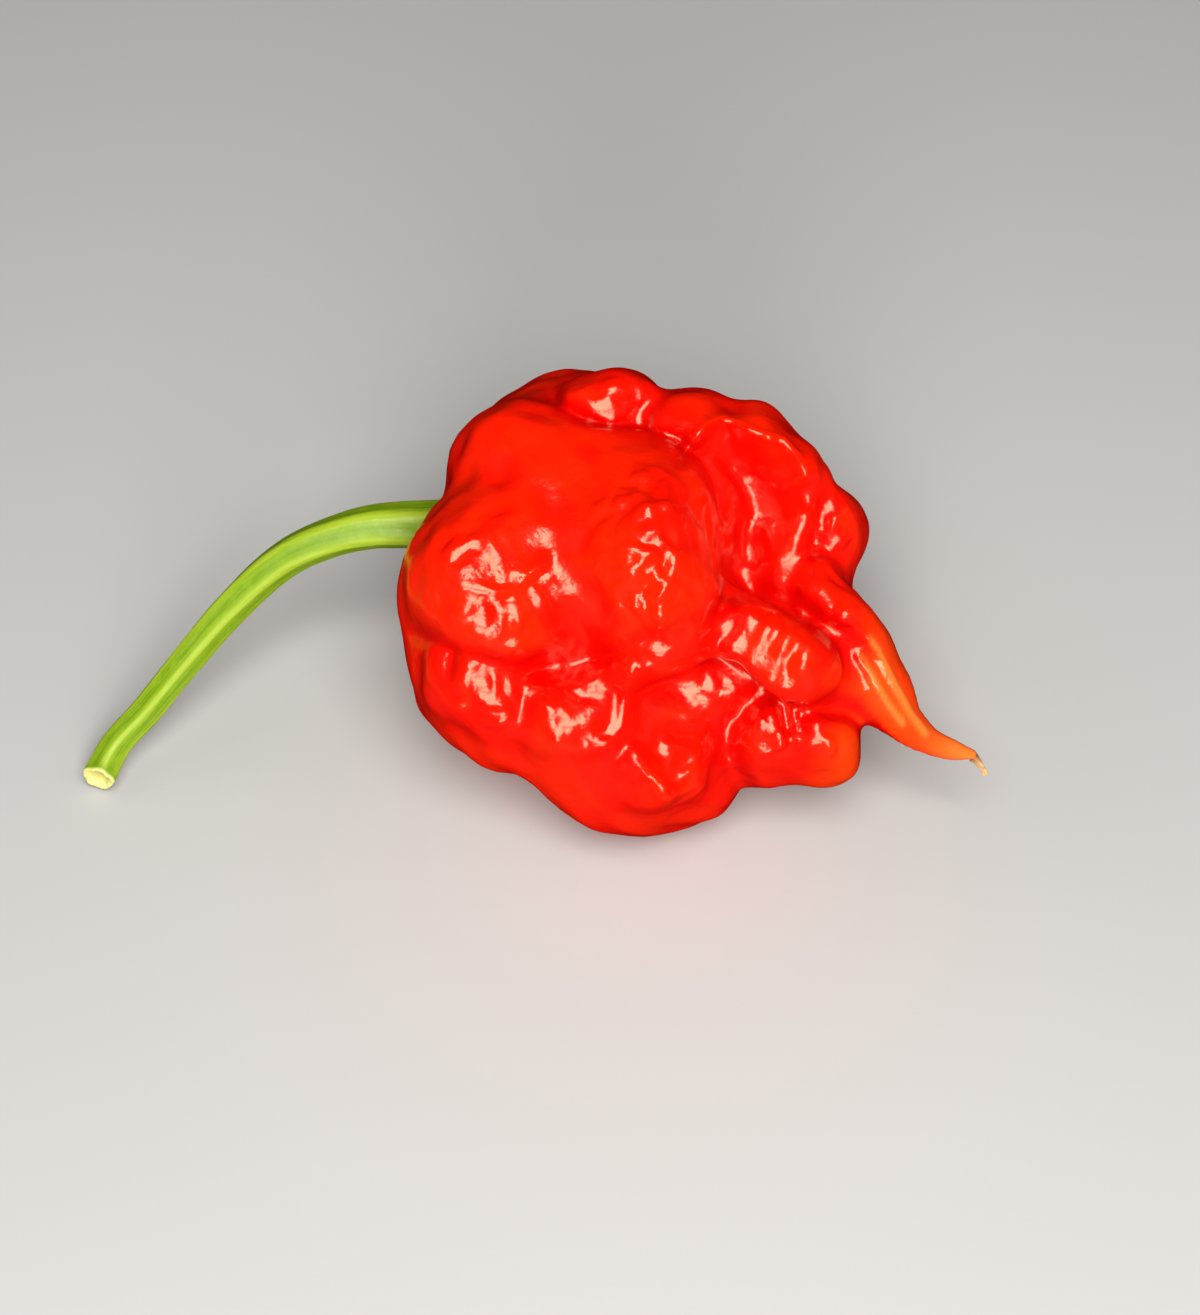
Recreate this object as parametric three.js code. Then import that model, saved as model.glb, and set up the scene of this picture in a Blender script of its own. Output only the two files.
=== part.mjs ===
// Ripe chilli pepper with a wrinkled, lobed pod, picked with its stalk and lying on its side.
// Units are millimetres. The pod is drawn with X towards its tail, Y up its face and Z out of
// its face, and the whole pepper is then laid on its back lobes, +Z up, face to the front.

import * as THREE from 'three';

// Driving dimensions
const FACE_LEAN = THREE.MathUtils.degToRad(40);   // lean of the pod's face from level
const MIDDLE = [7.49, -0.9, 15.2];                // where the pod's own zero stands
const FOLD_DRIFT = 0.55;                          // how far the lobes wander from true ellipsoids
const RIPPLE_HEIGHT = 0.09;                       // low waves all over the skin
const TAIL_BLEND = 1.2;                           // fillet between the pod and its tail
const CALYX_RADIUS = 2.1;                         // green cap under the stalk, to the notches
const CALYX_TOOTH = 0.6;                          // length of each tooth past the notches
const CALYX_TEETH = 5;
const CALYX_THICKNESS = 0.8;
const CALYX_GAP = 0.35;                           // air between the cap and the pod
const STALK_RIDGES = 5;
const STALK_RIDGE_HEIGHT = 0.055;                 // as a share of the stalk's radius
const STALK_TWIST = THREE.MathUtils.degToRad(50); // turn of the ridges from pod to cut end
const CUT_RIM = 0.3;                              // wall of skin round the cut end
const CUT_DEPTH = 0.7;                            // hollow in the cut end
const MESH_STEP = 1.2;                            // spacing of the pod's facets
const LEAST_BLEND = 1.5;                          // narrowest fold between lobes that the facets follow
const LEAST_RIM = 2.6;                            // narrowest rim round a lobe pressed into the others
const LEAST_FOLD = 0.9;                           // narrowest fold drawn on the skin that they follow
const CREASE_ROUND = 0.55;                        // and the roundness of the creases in them

// Lobes of the pod: centre, half sizes, turn about Z in degrees, width of the fold to the lobes before,
// and for a squarer one the power that shapes it. A pressed lobe sinks into the lobes before it.
const LOBES = [
  // body inside all the lobes
  lobe([0, 0, -1], [12.2, 12.2, 11], 0, 0),
  // basin under the arch, with the arch over it
  lobe([8.6, 4.8, -2.2], [5.4, 6, 9], 0, 2.5),
  lobe([4.2, 11.8, 0.4], [3.3, 2.9, 7], 8, 1.6),
  lobe([8.8, 10.7, 0.8], [3.4, 3.1, 7], -32, 1.6),
  lobe([11.1, 8.1, 1], [2.8, 3.4, 6.6], -12, 1.4),
  pressed([4, 1.5, 12.5], [11.5, 12, 9.8], 0, 1.2),
  // face: what lies under the cheeks, the two cheeks, the shoulder over the stalk and the brow
  lobe([-4.8, 3.6, 2.4], [9.4, 8.8, 9.8], 0, 3),
  lobe([-0.8, -2.7, 3.8], [5.4, 2.8, 6.4], 12, 2),
  lobe([-9.7, 1, 4.4], [6.2, 6, 8.5], -12, 2.8, 2.6),
  lobe([1.1, 2.5, 5.7], [5.2, 6.4, 8.7], 20, 3, 2.25),
  lobe([-6.8, 8.9, -0.8], [6.2, 5.9, 8.2], 30, 3.2),
  lobe([0.5, 6.8, 3], [5.8, 4.8, 7.5], -20, 3),
  // upper edge: the top lobe, and the ear at the end of the arch
  lobe([-2, 13.1, -0.6], [5.2, 3.5, 7.2], -8, 1.2),
  lobe([-5.2, 11.1, -2.4], [4.6, 4.9, 6], 0, 2.2),
  lobe([13.7, 5.3, -0.6], [2.7, 3.7, 5.2], 24, 0.9),
  lobe([13.7, 1.5, 0.6], [2.2, 2, 4.6], 0, 1.2),
  // tail side: the slanting finger, what lies under it, and the fold into the tail
  lobe([5.6, -6, -1.2], [6.5, 5.6, 7], 0, 1.5),
  lobe([11.6, -6.6, 0.8], [4.2, 3.6, 5], -30, 1.4),
  lobe([8.7, -3.1, 6], [4.8, 2.4, 4.5], -35, 1.1, 3.5),
  lobe([6, -1.4, 4], [2, 2, 4.4], 0, 1.4),
  lobe([11.7, -5.6, 5.2], [2.4, 2.3, 4.3], -35, 1),
  lobe([14.7, -1.3, 2.8], [3.6, 2.2, 4.4], -42, 1.5),
  // lower edge: heel, chin and jaws, with the lip over them
  lobe([12.7, -10.1, 0.8], [3.7, 2.6, 5.6], -14, 1.1),
  lobe([14.3, -9.9, 0.8], [2.2, 2.2, 4.6], 0, 1),
  lobe([9.4, -9.9, 0.8], [2.6, 3.2, 6.2], 0, 1.3),
  lobe([0.2, -12.1, 0.2], [5, 4.2, 7.2], 8, 1.6),
  lobe([4.3, -11.9, -0.6], [3.7, 3.2, 6.4], 30, 1.5),
  lobe([-3, -12.2, -0.2], [3.3, 3.4, 6.4], 0, 1.5),
  lobe([-4, -8.4, 3.4], [5.2, 4.6, 6.8], -14, 2.6),
  lobe([-11.1, -5.3, 2.6], [5.7, 4.6, 7], -24, 2.6),
  lobe([-8.5, -7.4, 1.6], [4.4, 4.4, 6.4], 0, 1.5),
  lobe([0.6, -4.1, 6.6], [5.2, 1.4, 3.8], 16, 1.4),
  // back of the pod
  lobe([-8.2, -0.6, -6], [6.8, 6.2, 7], 0, 1.5),
  lobe([-8.6, 7.6, -5.2], [5, 5, 6.2], 20, 1.5),
  lobe([-10.4, 9, -4.4], [3.7, 3.2, 4.2], 0, 1.3),
  lobe([-9.6, 4.2, -9.2], [4.9, 4.4, 3.9], 0, 1.3),
  lobe([-1.8, 9.2, -6.6], [5.6, 5.6, 6.2], 0, 1.3),
  lobe([6.4, 7.6, -6.2], [5.6, 5, 6.2], -20, 1.3),
  lobe([11.6, 1, -4.8], [3.4, 5, 5.8], 0, 1.3),
  lobe([0.2, 2.4, -9.4], [5.4, 5, 4.6], 0, 1.2),
  // the three lobes that it lies on
  lobe([-6.4, -3.2, -9.4], [6.7, 6.4, 6.4], 0, 2.2),
  lobe([7.2, -3, -9.5], [6.7, 6.2, 6.4], 0, 2.2),
  lobe([0.8, -10.6, -5.2], [6.2, 5.8, 6.2], 0, 1.8),
];

// Hollows pressed into all the lobes, given as a lobe is
const HOLLOWS = [
  // under the lip
  lobe([4.6, -7, 12], [3.9, 3, 5.8], 10, 1.8),
  // round the foot of the stalk
  lobe([-15.6, 5.2, -4.2], [5.2, 4.4, 4.9], 0, 1.8),
];

// Folds drawn across the face or the back: points in X and Y, depth, width and how they are cut.
// A fold with a negative depth is a raised ridge.
const CREASE = (distance, width) => {
  const rounded = Math.hypot(distance, CREASE_ROUND);
  return Math.exp((CREASE_ROUND - rounded) / width);
};
const VALLEY = (distance, width) => Math.exp(-((distance / width) ** 2));
const FACE = 1;
const BACK = -1;
const FOLDS = [
  // under the cheeks and behind the brow
  fold(FACE, CREASE, 0.5, 0.7, [
    [-15.2, -2.5], [-13.8, -3.2], [-9.9, -4.5], [-7.5, -4.9], [-3.9, -4.5], [-0.3, -3.3],
    [2.7, -2.3], [4.6, -1.1], [5.7, -0.8]]),
  fold(FACE, CREASE, 0.6, 0.6, [
    [-6.6, 15.6], [-5.2, 13.6], [-3.9, 12.8], [-1.6, 12.2], [0.6, 12], [3.1, 11],
    [4.6, 9.7], [5.6, 7.9], [6, 5.6]]),
  // between the arch and the ear
  fold(FACE, CREASE, 0.25, 0.6, [[13, 9.6], [12.9, 6.6], [12.6, 4.6]]),
  // between the two cheeks, and in the shoulder
  fold(FACE, VALLEY, 0.2, 2.4, [[-4.6, 6.5], [-4.9, 3.2], [-4.2, 0.2], [-3.9, -3.5]]),
  fold(FACE, VALLEY, 0.2, 1.6, [[-14.6, 8.6], [-12, 8], [-9.6, 8.2]]),
  // ridges on the arch, the jaw, the chin, the heel and the tail
  fold(FACE, VALLEY, -0.4, 0.5, [
    [4, 10.9], [5.1, 12.1], [6.6, 12.8], [8.8, 11.2], [10.3, 10.1], [11.7, 8.9], [10.9, 7.6]]),
  fold(FACE, VALLEY, -0.35, 0.6, [
    [-5.9, -10.4], [-5.3, -9.9], [-3.4, -10.6], [-1.6, -9.9], [-0.9, -8.9], [-0.6, -7], [-0.4, -5.1]]),
  fold(FACE, VALLEY, -0.3, 0.6, [[-0.1, -10.6], [0.8, -12.1], [1.7, -13.9]]),
  fold(FACE, VALLEY, -0.3, 0.4, [[8.5, -9.2], [8.7, -7.9], [9.4, -7.6], [10, -8.7], [10.2, -10.2]]),
  fold(FACE, VALLEY, -0.22, 0.3, [[15.6, -3.9], [16.3, -4.9], [17.6, -7.1], [18.9, -8.7]]),
  fold(FACE, VALLEY, -0.2, 0.3, [[16.4, -2.9], [17, -3.6], [18.1, -5.7], [19.4, -7.9], [20.6, -9.4]]),
  // short folds in the left jaw
  fold(FACE, VALLEY, 0.3, 0.5, [[-12.6, -3.6], [-12.9, -5.6], [-12.4, -6.6]]),
  fold(FACE, VALLEY, 0.15, 1, [[-7.8, -5.4], [-8, -8.4], [-8.6, -11]]),
  // the three long creases of the back
  fold(BACK, CREASE, 0.6, 0.8, [[-13, 2.6], [-7, 3.2], [-2.6, 4.4], [2, 7.6], [3.2, 14]]),
  fold(BACK, CREASE, 0.55, 0.8, [[2.4, 6.8], [6.8, 1.6], [11.4, -3], [14, -5.4]]),
  fold(BACK, CREASE, 0.45, 0.8, [[-12, -5.6], [-5.4, -0.4], [0.2, -3.6], [4.4, -1]]),
];

// Tail: places along its middle with the radius there
const TAIL_STATIONS = [
  { at: [12.6, -2.4, 2.2], radius: 3.2 },
  { at: [15.2, -4.4, 2.4], radius: 3.15 },
  { at: [17.3, -6.35, 2.2], radius: 2.4 },
  { at: [18.9, -8.4, 1.8], radius: 1.52 },
  { at: [20.85, -9.93, 1.3], radius: 0.97 },
  { at: [22.6, -10.62, 0.8], radius: 0.75 },
  { at: [24.1, -10.98, 0.4], radius: 0.36 },
];
const TAIL_STEPS = 24;

// Dry style on the tail's tip: middle line and radii at its two ends
const STYLE_LINE = [[24.22, -11.2, 0.27], [24.72, -11.7, 0.16], [24.96, -12.04, 0.06], [25.15, -12.45, 0.02]];
const STYLE_RADII = [0.3, 0.2];

// Stalk: middle line from the cap to the cut end, and the radius at even steps along it
const STALK_LINE = [
  [-15.1, 5.48, -3.4], [-19.05, 5.33, -3.2], [-22.7, 4.33, -3.5], [-25.65, 2.82, -4.1],
  [-29.4, -0.55, -5.2], [-32.85, -4.5, -6.2], [-35.65, -7.9, -7], [-37.9, -10.4, -7.3],
  [-39.25, -13, -6.9]];
const STALK_RADII = [1.85, 1.68, 1.46, 1.34, 1.28, 1.18, 1.1, 1.07, 1.17];
const CUT_FACING = [-0.3, -0.78, 0.54];
const STALK_FOOT_RISE = 1.9;                      // from the middle of the cap's underside
const CAP_FOOT = [-18.5, 5.45, -3.6];
const CAP_AXIS = [-1, 0, 0.04];

// Shape helpers

const LEAST_NEARNESS = 0.05;                      // keeps the distance finite in a lobe's very middle
const LEAST_SLOPE = 1e-3;

function lobe(centre, half, turn, blend, power = 2) {
  const angle = THREE.MathUtils.degToRad(turn);
  return { centre, half, blend, power, inward: false, cos: Math.cos(angle), sin: Math.sin(angle) };
}

function pressed(centre, half, turn, blend) {
  return { ...lobe(centre, half, turn, blend), inward: true };
}

function fold(side, profile, depth, width, points) {
  return { side, profile, depth, width, points };
}

function vector(numbers) {
  return new THREE.Vector3(...numbers);
}

function lobeDistance(p, { centre, half, power, cos, sin }) {
  const dx = p.x - centre[0];
  const dy = p.y - centre[1];
  const local = [dx * cos + dy * sin, dy * cos - dx * sin, p.z - centre[2]];
  const shares = local.map((along, axis) => Math.abs(along / half[axis]));
  const total = shares.reduce((sum, share) => sum + share ** power, 0);
  const near = Math.max(total ** (1 / power), LEAST_NEARNESS);
  const slope = Math.hypot(...shares.map((share, axis) => share ** (power - 1) / half[axis]));
  return (near - 1) * near ** (power - 1) / Math.max(slope, LEAST_SLOPE);
}

function join(a, b, blend) {
  const overlap = Math.max(blend - Math.abs(a - b), 0);
  const fillet = blend > 0 ? overlap ** 2 / (4 * blend) : 0;
  return Math.min(a, b) - fillet;
}

function segmentDistance2d(p, a, b) {
  const ex = b[0] - a[0];
  const ey = b[1] - a[1];
  const share = ((p.x - a[0]) * ex + (p.y - a[1]) * ey) / (ex * ex + ey * ey);
  const s = THREE.MathUtils.clamp(share, 0, 1);
  return Math.hypot(p.x - a[0] - s * ex, p.y - a[1] - s * ey);
}

// Pod

const tailCurve = new THREE.CatmullRomCurve3(TAIL_STATIONS.map((station) => vector(station.at)));
const tailBeads = Array.from({ length: TAIL_STEPS + 1 }, (_, i) => {
  const place = i / TAIL_STEPS;
  return { at: tailCurve.getPoint(place), radius: alongRadii(TAIL_STATIONS.map((s) => s.radius), place) };
});

function alongRadii(radii, share) {
  const place = THREE.MathUtils.clamp(share, 0, 1) * (radii.length - 1);
  const index = Math.min(Math.floor(place), radii.length - 2);
  return THREE.MathUtils.lerp(radii[index], radii[index + 1], place - index);
}

function tailDistance(p) {
  let nearest = Infinity;
  const edge = new THREE.Vector3();
  const reach = new THREE.Vector3();
  for (let i = 1; i < tailBeads.length; i += 1) {
    const a = tailBeads[i - 1];
    const b = tailBeads[i];
    edge.subVectors(b.at, a.at);
    reach.subVectors(p, a.at);
    const s = THREE.MathUtils.clamp(reach.dot(edge) / edge.lengthSq(), 0, 1);
    const radius = THREE.MathUtils.lerp(a.radius, b.radius, s);
    nearest = Math.min(nearest, reach.addScaledVector(edge, -s).length() - radius);
  }
  return nearest;
}

function drifted(p) {
  return new THREE.Vector3(
    p.x + FOLD_DRIFT * Math.sin(0.55 * p.y + 0.9 * Math.sin(0.31 * p.z + 1) + 0.4),
    p.y + FOLD_DRIFT * Math.sin(0.5 * p.z + 0.8 * Math.sin(0.27 * p.x + 0.3) + 2.1),
    p.z + FOLD_DRIFT * Math.sin(0.52 * p.x + 0.7 * Math.sin(0.33 * p.y + 0.8) + 4),
  );
}

// Low waves over the skin, which fade out along the tail
const RIPPLE_FADE = [15, 22];

function ripple(p) {
  const a = Math.sin(1.25 * p.x + 0.55 * p.y + 1.3 * Math.sin(0.42 * p.z + 0.5));
  const b = Math.sin(1.18 * p.y - 0.47 * p.z + 1.1 * Math.sin(0.47 * p.x + 1.9));
  const c = Math.sin(1.22 * p.z + 0.61 * p.x + 1.2 * Math.sin(0.39 * p.y + 2.6));
  const onTail = 1 - THREE.MathUtils.smoothstep(p.x, ...RIPPLE_FADE);
  return RIPPLE_HEIGHT * (a * b + b * c + c * a) * onTail;
}

// How far a point sinks into the folds, which fade out round the pod's edge
const FOLD_FADE = [-1, 3];

function foldDepth(p) {
  let depth = 0;
  for (const { side, profile, depth: deepest, width, points } of FOLDS) {
    let distance = Infinity;
    for (let i = 1; i < points.length; i += 1) {
      distance = Math.min(distance, segmentDistance2d(p, points[i - 1], points[i]));
    }
    const widened = Math.max(width, LEAST_FOLD);
    const onSide = THREE.MathUtils.smoothstep(side * p.z, ...FOLD_FADE);
    depth += deepest * (width / widened) * profile(distance, widened) * onSide;
  }
  return depth;
}

function heightAboveSurface(p) {
  return MIDDLE[2] + p.y * Math.sin(FACE_LEAN) + p.z * Math.cos(FACE_LEAN);
}

// Distance outside the pod's skin, less than zero within it
function podDistance(p) {
  const q = drifted(p);
  let distance = lobeDistance(q, LOBES[0]);
  for (const bulge of LOBES.slice(1)) {
    const reach = lobeDistance(q, bulge);
    const blend = Math.max(bulge.blend, bulge.inward ? LEAST_RIM : LEAST_BLEND);
    distance = bulge.inward ? -join(-distance, reach, blend) : join(distance, reach, blend);
  }
  for (const hollow of HOLLOWS) {
    distance = -join(-distance, lobeDistance(q, hollow), hollow.blend);
  }
  distance = join(distance, tailDistance(p), TAIL_BLEND);
  distance += foldDepth(p) + ripple(p);
  return Math.max(distance, -heightAboveSurface(p));
}

const SLOPE_REACH = 0.05;

function slopeAt(distance, p) {
  const probe = new THREE.Vector3();
  const slope = ['x', 'y', 'z'].map((axis) => {
    probe.copy(p)[axis] += SLOPE_REACH;
    const ahead = distance(probe);
    probe[axis] -= 2 * SLOPE_REACH;
    return (ahead - distance(probe)) / (2 * SLOPE_REACH);
  });
  return vector(slope);
}

// Net of facets over a skin

const CORNERS = Array.from({ length: 8 }, (_, i) => [i & 1, (i >> 1) & 1, i >> 2]);
const CELL_EDGES = CORNERS.flatMap((_, i) => {
  const steps = [1, 2, 4].filter((bit) => !(i & bit));
  return steps.map((bit) => [i, i | bit]);
});
const CROSSING_MARGIN = 0.1;                      // nearest a facet's corner may come to a grid node
const FILLED = -0.01;                             // share of a step by which a filled node lies within

function linked(members) {
  if (members.length < 2) {
    return true;
  }
  const reached = new Set([members[0]]);
  for (let round = 0; round < members.length; round += 1) {
    for (const [a, b] of CELL_EDGES) {
      if (members.includes(a) && members.includes(b) && (reached.has(a) || reached.has(b))) {
        reached.add(a).add(b);
      }
    }
  }
  return reached.size === members.length;
}

class Grid {
  constructor(low, high, step, place, distance) {
    this.low = low;
    this.step = step;
    this.place = place;
    this.counts = low.map((start, axis) => Math.ceil((high[axis] - start) / step) + 1);
    this.values = new Float64Array(this.counts[0] * this.counts[1] * this.counts[2]);
    this.eachNode(([i, j, k]) => {
      this.values[this.index(i, j, k)] = distance(this.at([i, j, k]));
    });
  }

  index(i, j, k) {
    return i + this.counts[0] * (j + this.counts[1] * k);
  }

  at(steps) {
    return this.place(vector(steps.map((count, axis) => this.low[axis] + count * this.step)));
  }

  eachNode(visit, margin = 0) {
    for (let k = 0; k < this.counts[2] - margin; k += 1) {
      for (let j = 0; j < this.counts[1] - margin; j += 1) {
        for (let i = 0; i < this.counts[0] - margin; i += 1) {
          visit([i, j, k]);
        }
      }
    }
  }

  corners([i, j, k]) {
    return CORNERS.map(([a, b, c]) => this.index(i + a, j + b, k + c));
  }

  // Fills nodes until the skin crosses every cell as one sheet
  fillPinches() {
    let filled = true;
    while (filled) {
      filled = false;
      this.eachNode((cell) => {
        const nodes = this.corners(cell);
        const value = (n) => this.values[nodes[n]];
        const within = CORNERS.map((_, n) => n).filter((n) => value(n) < 0);
        const without = CORNERS.map((_, n) => n).filter((n) => value(n) >= 0);
        if (!linked(within) || !linked(without)) {
          const shallowest = without.reduce((a, b) => (value(a) < value(b) ? a : b));
          this.values[nodes[shallowest]] = FILLED * this.step;
          filled = true;
        }
      }, 1);
    }
  }
}

function netOverSkin(grid) {
  const points = [];
  const cellPoint = new Map();
  grid.eachNode((cell) => {
    const nodes = grid.corners(cell);
    const within = nodes.map((node) => grid.values[node] < 0);
    const crossings = CELL_EDGES.filter(([a, b]) => within[a] !== within[b]);
    if (crossings.length === 0) {
      return;
    }
    const middle = [0, 0, 0];
    for (const [a, b] of crossings) {
      const va = grid.values[nodes[a]];
      const vb = grid.values[nodes[b]];
      const share = THREE.MathUtils.clamp(va / (va - vb), CROSSING_MARGIN, 1 - CROSSING_MARGIN);
      for (let axis = 0; axis < 3; axis += 1) {
        const start = CORNERS[a][axis];
        middle[axis] += (start + share * (CORNERS[b][axis] - start)) / crossings.length;
      }
    }
    cellPoint.set(nodes[0], points.length);
    points.push(grid.at(cell.map((count, axis) => count + middle[axis])));
  }, 1);

  const quads = [];
  grid.eachNode((node) => {
    for (let axis = 0; axis < 3; axis += 1) {
      const side = (axis + 1) % 3;
      const rise = (axis + 2) % 3;
      const next = node.map((count, n) => count + (n === axis ? 1 : 0));
      const here = grid.values[grid.index(...node)];
      const there = grid.values[grid.index(...next)];
      if ((here < 0) === (there < 0) || node[side] === 0 || node[rise] === 0) {
        continue;
      }
      const round = [[0, 0], [-1, 0], [-1, -1], [0, -1]].map(([a, b]) => {
        const cell = [...node];
        cell[side] += a;
        cell[rise] += b;
        return cellPoint.get(grid.index(...cell));
      });
      quads.push(here < 0 ? round : round.reverse());
    }
  }, 1);
  return { points, quads };
}

function neighboursOf(points, quads) {
  const neighbours = points.map(() => new Set());
  for (const quad of quads) {
    quad.forEach((corner, n) => {
      neighbours[corner].add(quad[(n + 1) % 4]).add(quad[(n + 3) % 4]);
    });
  }
  return neighbours;
}

// Draws the net's points onto the skin and spaces them evenly along it
const SETTLE_ROUNDS = 3;
const EVENING = 0.5;                              // share of the way to the middle of a point's neighbours
const LONGEST_STEP = 0.35;
const LEAST_STEEPNESS = 0.3;

function settleNet({ points, quads }, distance) {
  const neighbours = neighboursOf(points, quads);
  for (let round = 0; round <= SETTLE_ROUNDS; round += 1) {
    if (round > 0) {
      const slopes = points.map((p) => slopeAt(distance, p).normalize());
      const pulls = points.map((p, n) => {
        const pull = new THREE.Vector3();
        neighbours[n].forEach((other) => pull.add(points[other]));
        pull.divideScalar(neighbours[n].size).sub(p);
        return pull.addScaledVector(slopes[n], -pull.dot(slopes[n])).multiplyScalar(EVENING);
      });
      points.forEach((p, n) => p.add(pulls[n]));
    }
    for (const p of points) {
      const slope = slopeAt(distance, p);
      const steepness = Math.max(slope.length(), LEAST_STEEPNESS);
      const step = THREE.MathUtils.clamp(distance(p) / steepness, -LONGEST_STEP, LONGEST_STEP);
      p.addScaledVector(slope.divideScalar(steepness), -step);
    }
  }
}

// Sets the facets of the feet exactly in the surface that the pod lies on
const FOOT_SNAP = 0.06;

function flattenFeet(points) {
  const up = new THREE.Vector3(0, Math.sin(FACE_LEAN), Math.cos(FACE_LEAN));
  for (const p of points) {
    const height = heightAboveSurface(p);
    if (height < FOOT_SNAP) {
      p.addScaledVector(up, -height);
    }
  }
}

function splitQuads({ points, quads }, distance) {
  const middle = new THREE.Vector3();
  const off = (a, b) => {
    middle.addVectors(points[a], points[b]).multiplyScalar(0.5);
    return Math.abs(distance(middle));
  };
  return quads.flatMap(([a, b, c, d]) => {
    const alongFirst = off(a, c) < off(b, d);
    return alongFirst ? [a, b, c, a, c, d] : [b, c, d, b, d, a];
  });
}

function geometryFrom(points, triangles) {
  const geometry = new THREE.BufferGeometry();
  const numbers = points.flatMap((p) => [p.x, p.y, p.z]);
  geometry.setAttribute('position', new THREE.Float32BufferAttribute(numbers, 3));
  geometry.setIndex(triangles);
  geometry.computeVertexNormals();
  return geometry;
}

// Past the root of the tail the net's grid narrows and follows the tail, which is thinner than a cell
const TAIL_GRID_START = 17;
const TAIL_GRID_END = 24.5;
const TAIL_GRID_NARROWING = 0.8;

function onTailMiddle(x) {
  const next = Math.max(tailBeads.findIndex((bead) => bead.at.x > x), 1);
  const b = x > tailBeads.at(-1).at.x ? tailBeads.at(-1) : tailBeads[next];
  const a = x > tailBeads.at(-1).at.x ? tailBeads.at(-2) : tailBeads[next - 1];
  return new THREE.Vector3().lerpVectors(a.at, b.at, (x - a.at.x) / (b.at.x - a.at.x));
}

function gridPlace(p) {
  if (p.x <= TAIL_GRID_START) {
    return p;
  }
  const root = onTailMiddle(TAIL_GRID_START);
  const middle = onTailMiddle(p.x);
  const narrowing = THREE.MathUtils.smoothstep(p.x, TAIL_GRID_START, TAIL_GRID_END);
  const scale = 1 - TAIL_GRID_NARROWING * narrowing;
  return new THREE.Vector3(p.x, middle.y + (p.y - root.y) * scale, middle.z + (p.z - root.z) * scale);
}

const GRID_LOW = [-18.2, -18.8, -18.2];
const GRID_HIGH = [26.6, 18.4, 16.6];

function podGeometry() {
  const grid = new Grid(GRID_LOW, GRID_HIGH, MESH_STEP, gridPlace, podDistance);
  grid.fillPinches();
  const net = netOverSkin(grid);
  settleNet(net, podDistance);
  flattenFeet(net.points);
  return geometryFrom(net.points, splitQuads(net, podDistance));
}

// Lofted pieces

// Closed skin through rings of points, all with the same count, shut by one point at each end
function loft(first, rings, last) {
  const count = rings[0].length;
  const points = [first, ...rings.flat(), last];
  const triangles = [];
  const at = (ring, n) => 1 + ring * count + (n % count);
  for (let n = 0; n < count; n += 1) {
    triangles.push(0, at(0, n + 1), at(0, n));
    triangles.push(points.length - 1, at(rings.length - 1, n), at(rings.length - 1, n + 1));
    for (let ring = 1; ring < rings.length; ring += 1) {
      triangles.push(at(ring - 1, n), at(ring - 1, n + 1), at(ring, n + 1));
      triangles.push(at(ring - 1, n), at(ring, n + 1), at(ring, n));
    }
  }
  return geometryFrom(points, triangles);
}

// Frames along a curve that turn as little as they can: place, direction and two cross axes
function framesAlong(curve, steps, firstSide) {
  const frames = [];
  let side = firstSide.clone();
  for (let i = 0; i <= steps; i += 1) {
    const along = curve.getTangentAt(i / steps);
    side = side.clone().addScaledVector(along, -side.dot(along)).normalize();
    const rise = new THREE.Vector3().crossVectors(along, side);
    frames.push({ share: i / steps, at: curve.getPointAt(i / steps), along, side, rise });
  }
  return frames;
}

function ringPoint({ at, side, rise }, angle, radius) {
  const point = at.clone();
  point.addScaledVector(side, radius * Math.cos(angle));
  return point.addScaledVector(rise, radius * Math.sin(angle));
}

// Stalk with its cap

const RING_POINTS = 30;
const STALK_STEPS = 22;
const ringAngles = Array.from({ length: RING_POINTS }, (_, n) => (2 * Math.PI * n) / RING_POINTS);

// First point along a ray into the pod that is a given height above the pod's skin
const RAY_STEPS = 60;
const RAY_SHARE = 0.6;                            // share of the distance left that each step takes
const RAY_LONGEST = 0.4;
const RAY_NEAR = 0.002;

function restOnPod(start, direction, height) {
  const p = start.clone();
  for (let step = 0; step < RAY_STEPS; step += 1) {
    const above = podDistance(p) - height;
    if (above < RAY_NEAR) {
      break;
    }
    p.addScaledVector(direction, Math.min(above * RAY_SHARE, RAY_LONGEST));
  }
  return p;
}

// Radius of the cap, which has a notch at its top
function capRadius(angle, share) {
  const tooth = 0.5 - 0.5 * Math.cos(CALYX_TEETH * angle);
  return share * (CALYX_RADIUS + CALYX_TOOTH * tooth * share ** 3);
}

function capRing(foot, share, height) {
  const inward = foot.along.clone().negate();
  return ringAngles.map((angle) => {
    const above = ringPoint(foot, angle, capRadius(angle, share));
    return restOnPod(above, inward, height);
  });
}

function stalkRing(frame, widen = 0) {
  return ringAngles.map((angle) => {
    const ridge = Math.cos(STALK_RIDGES * (angle - STALK_TWIST * frame.share));
    const radius = alongRadii(STALK_RADII, frame.share) * (1 + STALK_RIDGE_HEIGHT * ridge) + widen;
    return ringPoint(frame, angle, radius);
  });
}

// Cut end: the last ring is sheared to the slanting cut, then steps over the rim into the hollow
const CUT_FLOOR_INSET = 1.5;                      // inset of the hollow's floor, in widths of the rim

function cutRings(frame) {
  const facing = vector(CUT_FACING).normalize();
  const slant = (p) => {
    const lift = facing.dot(p.clone().sub(frame.at)) / facing.dot(frame.along);
    return p.addScaledVector(frame.along, -lift);
  };
  const rim = stalkRing(frame).map(slant);
  const lip = stalkRing(frame, -CUT_RIM).map(slant);
  const floor = stalkRing(frame, -CUT_RIM * CUT_FLOOR_INSET).map(slant);
  floor.forEach((p) => p.addScaledVector(frame.along, -CUT_DEPTH));
  const last = frame.at.clone().addScaledVector(frame.along, -CUT_DEPTH);
  return { rings: [rim, lip, floor], last };
}

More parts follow.
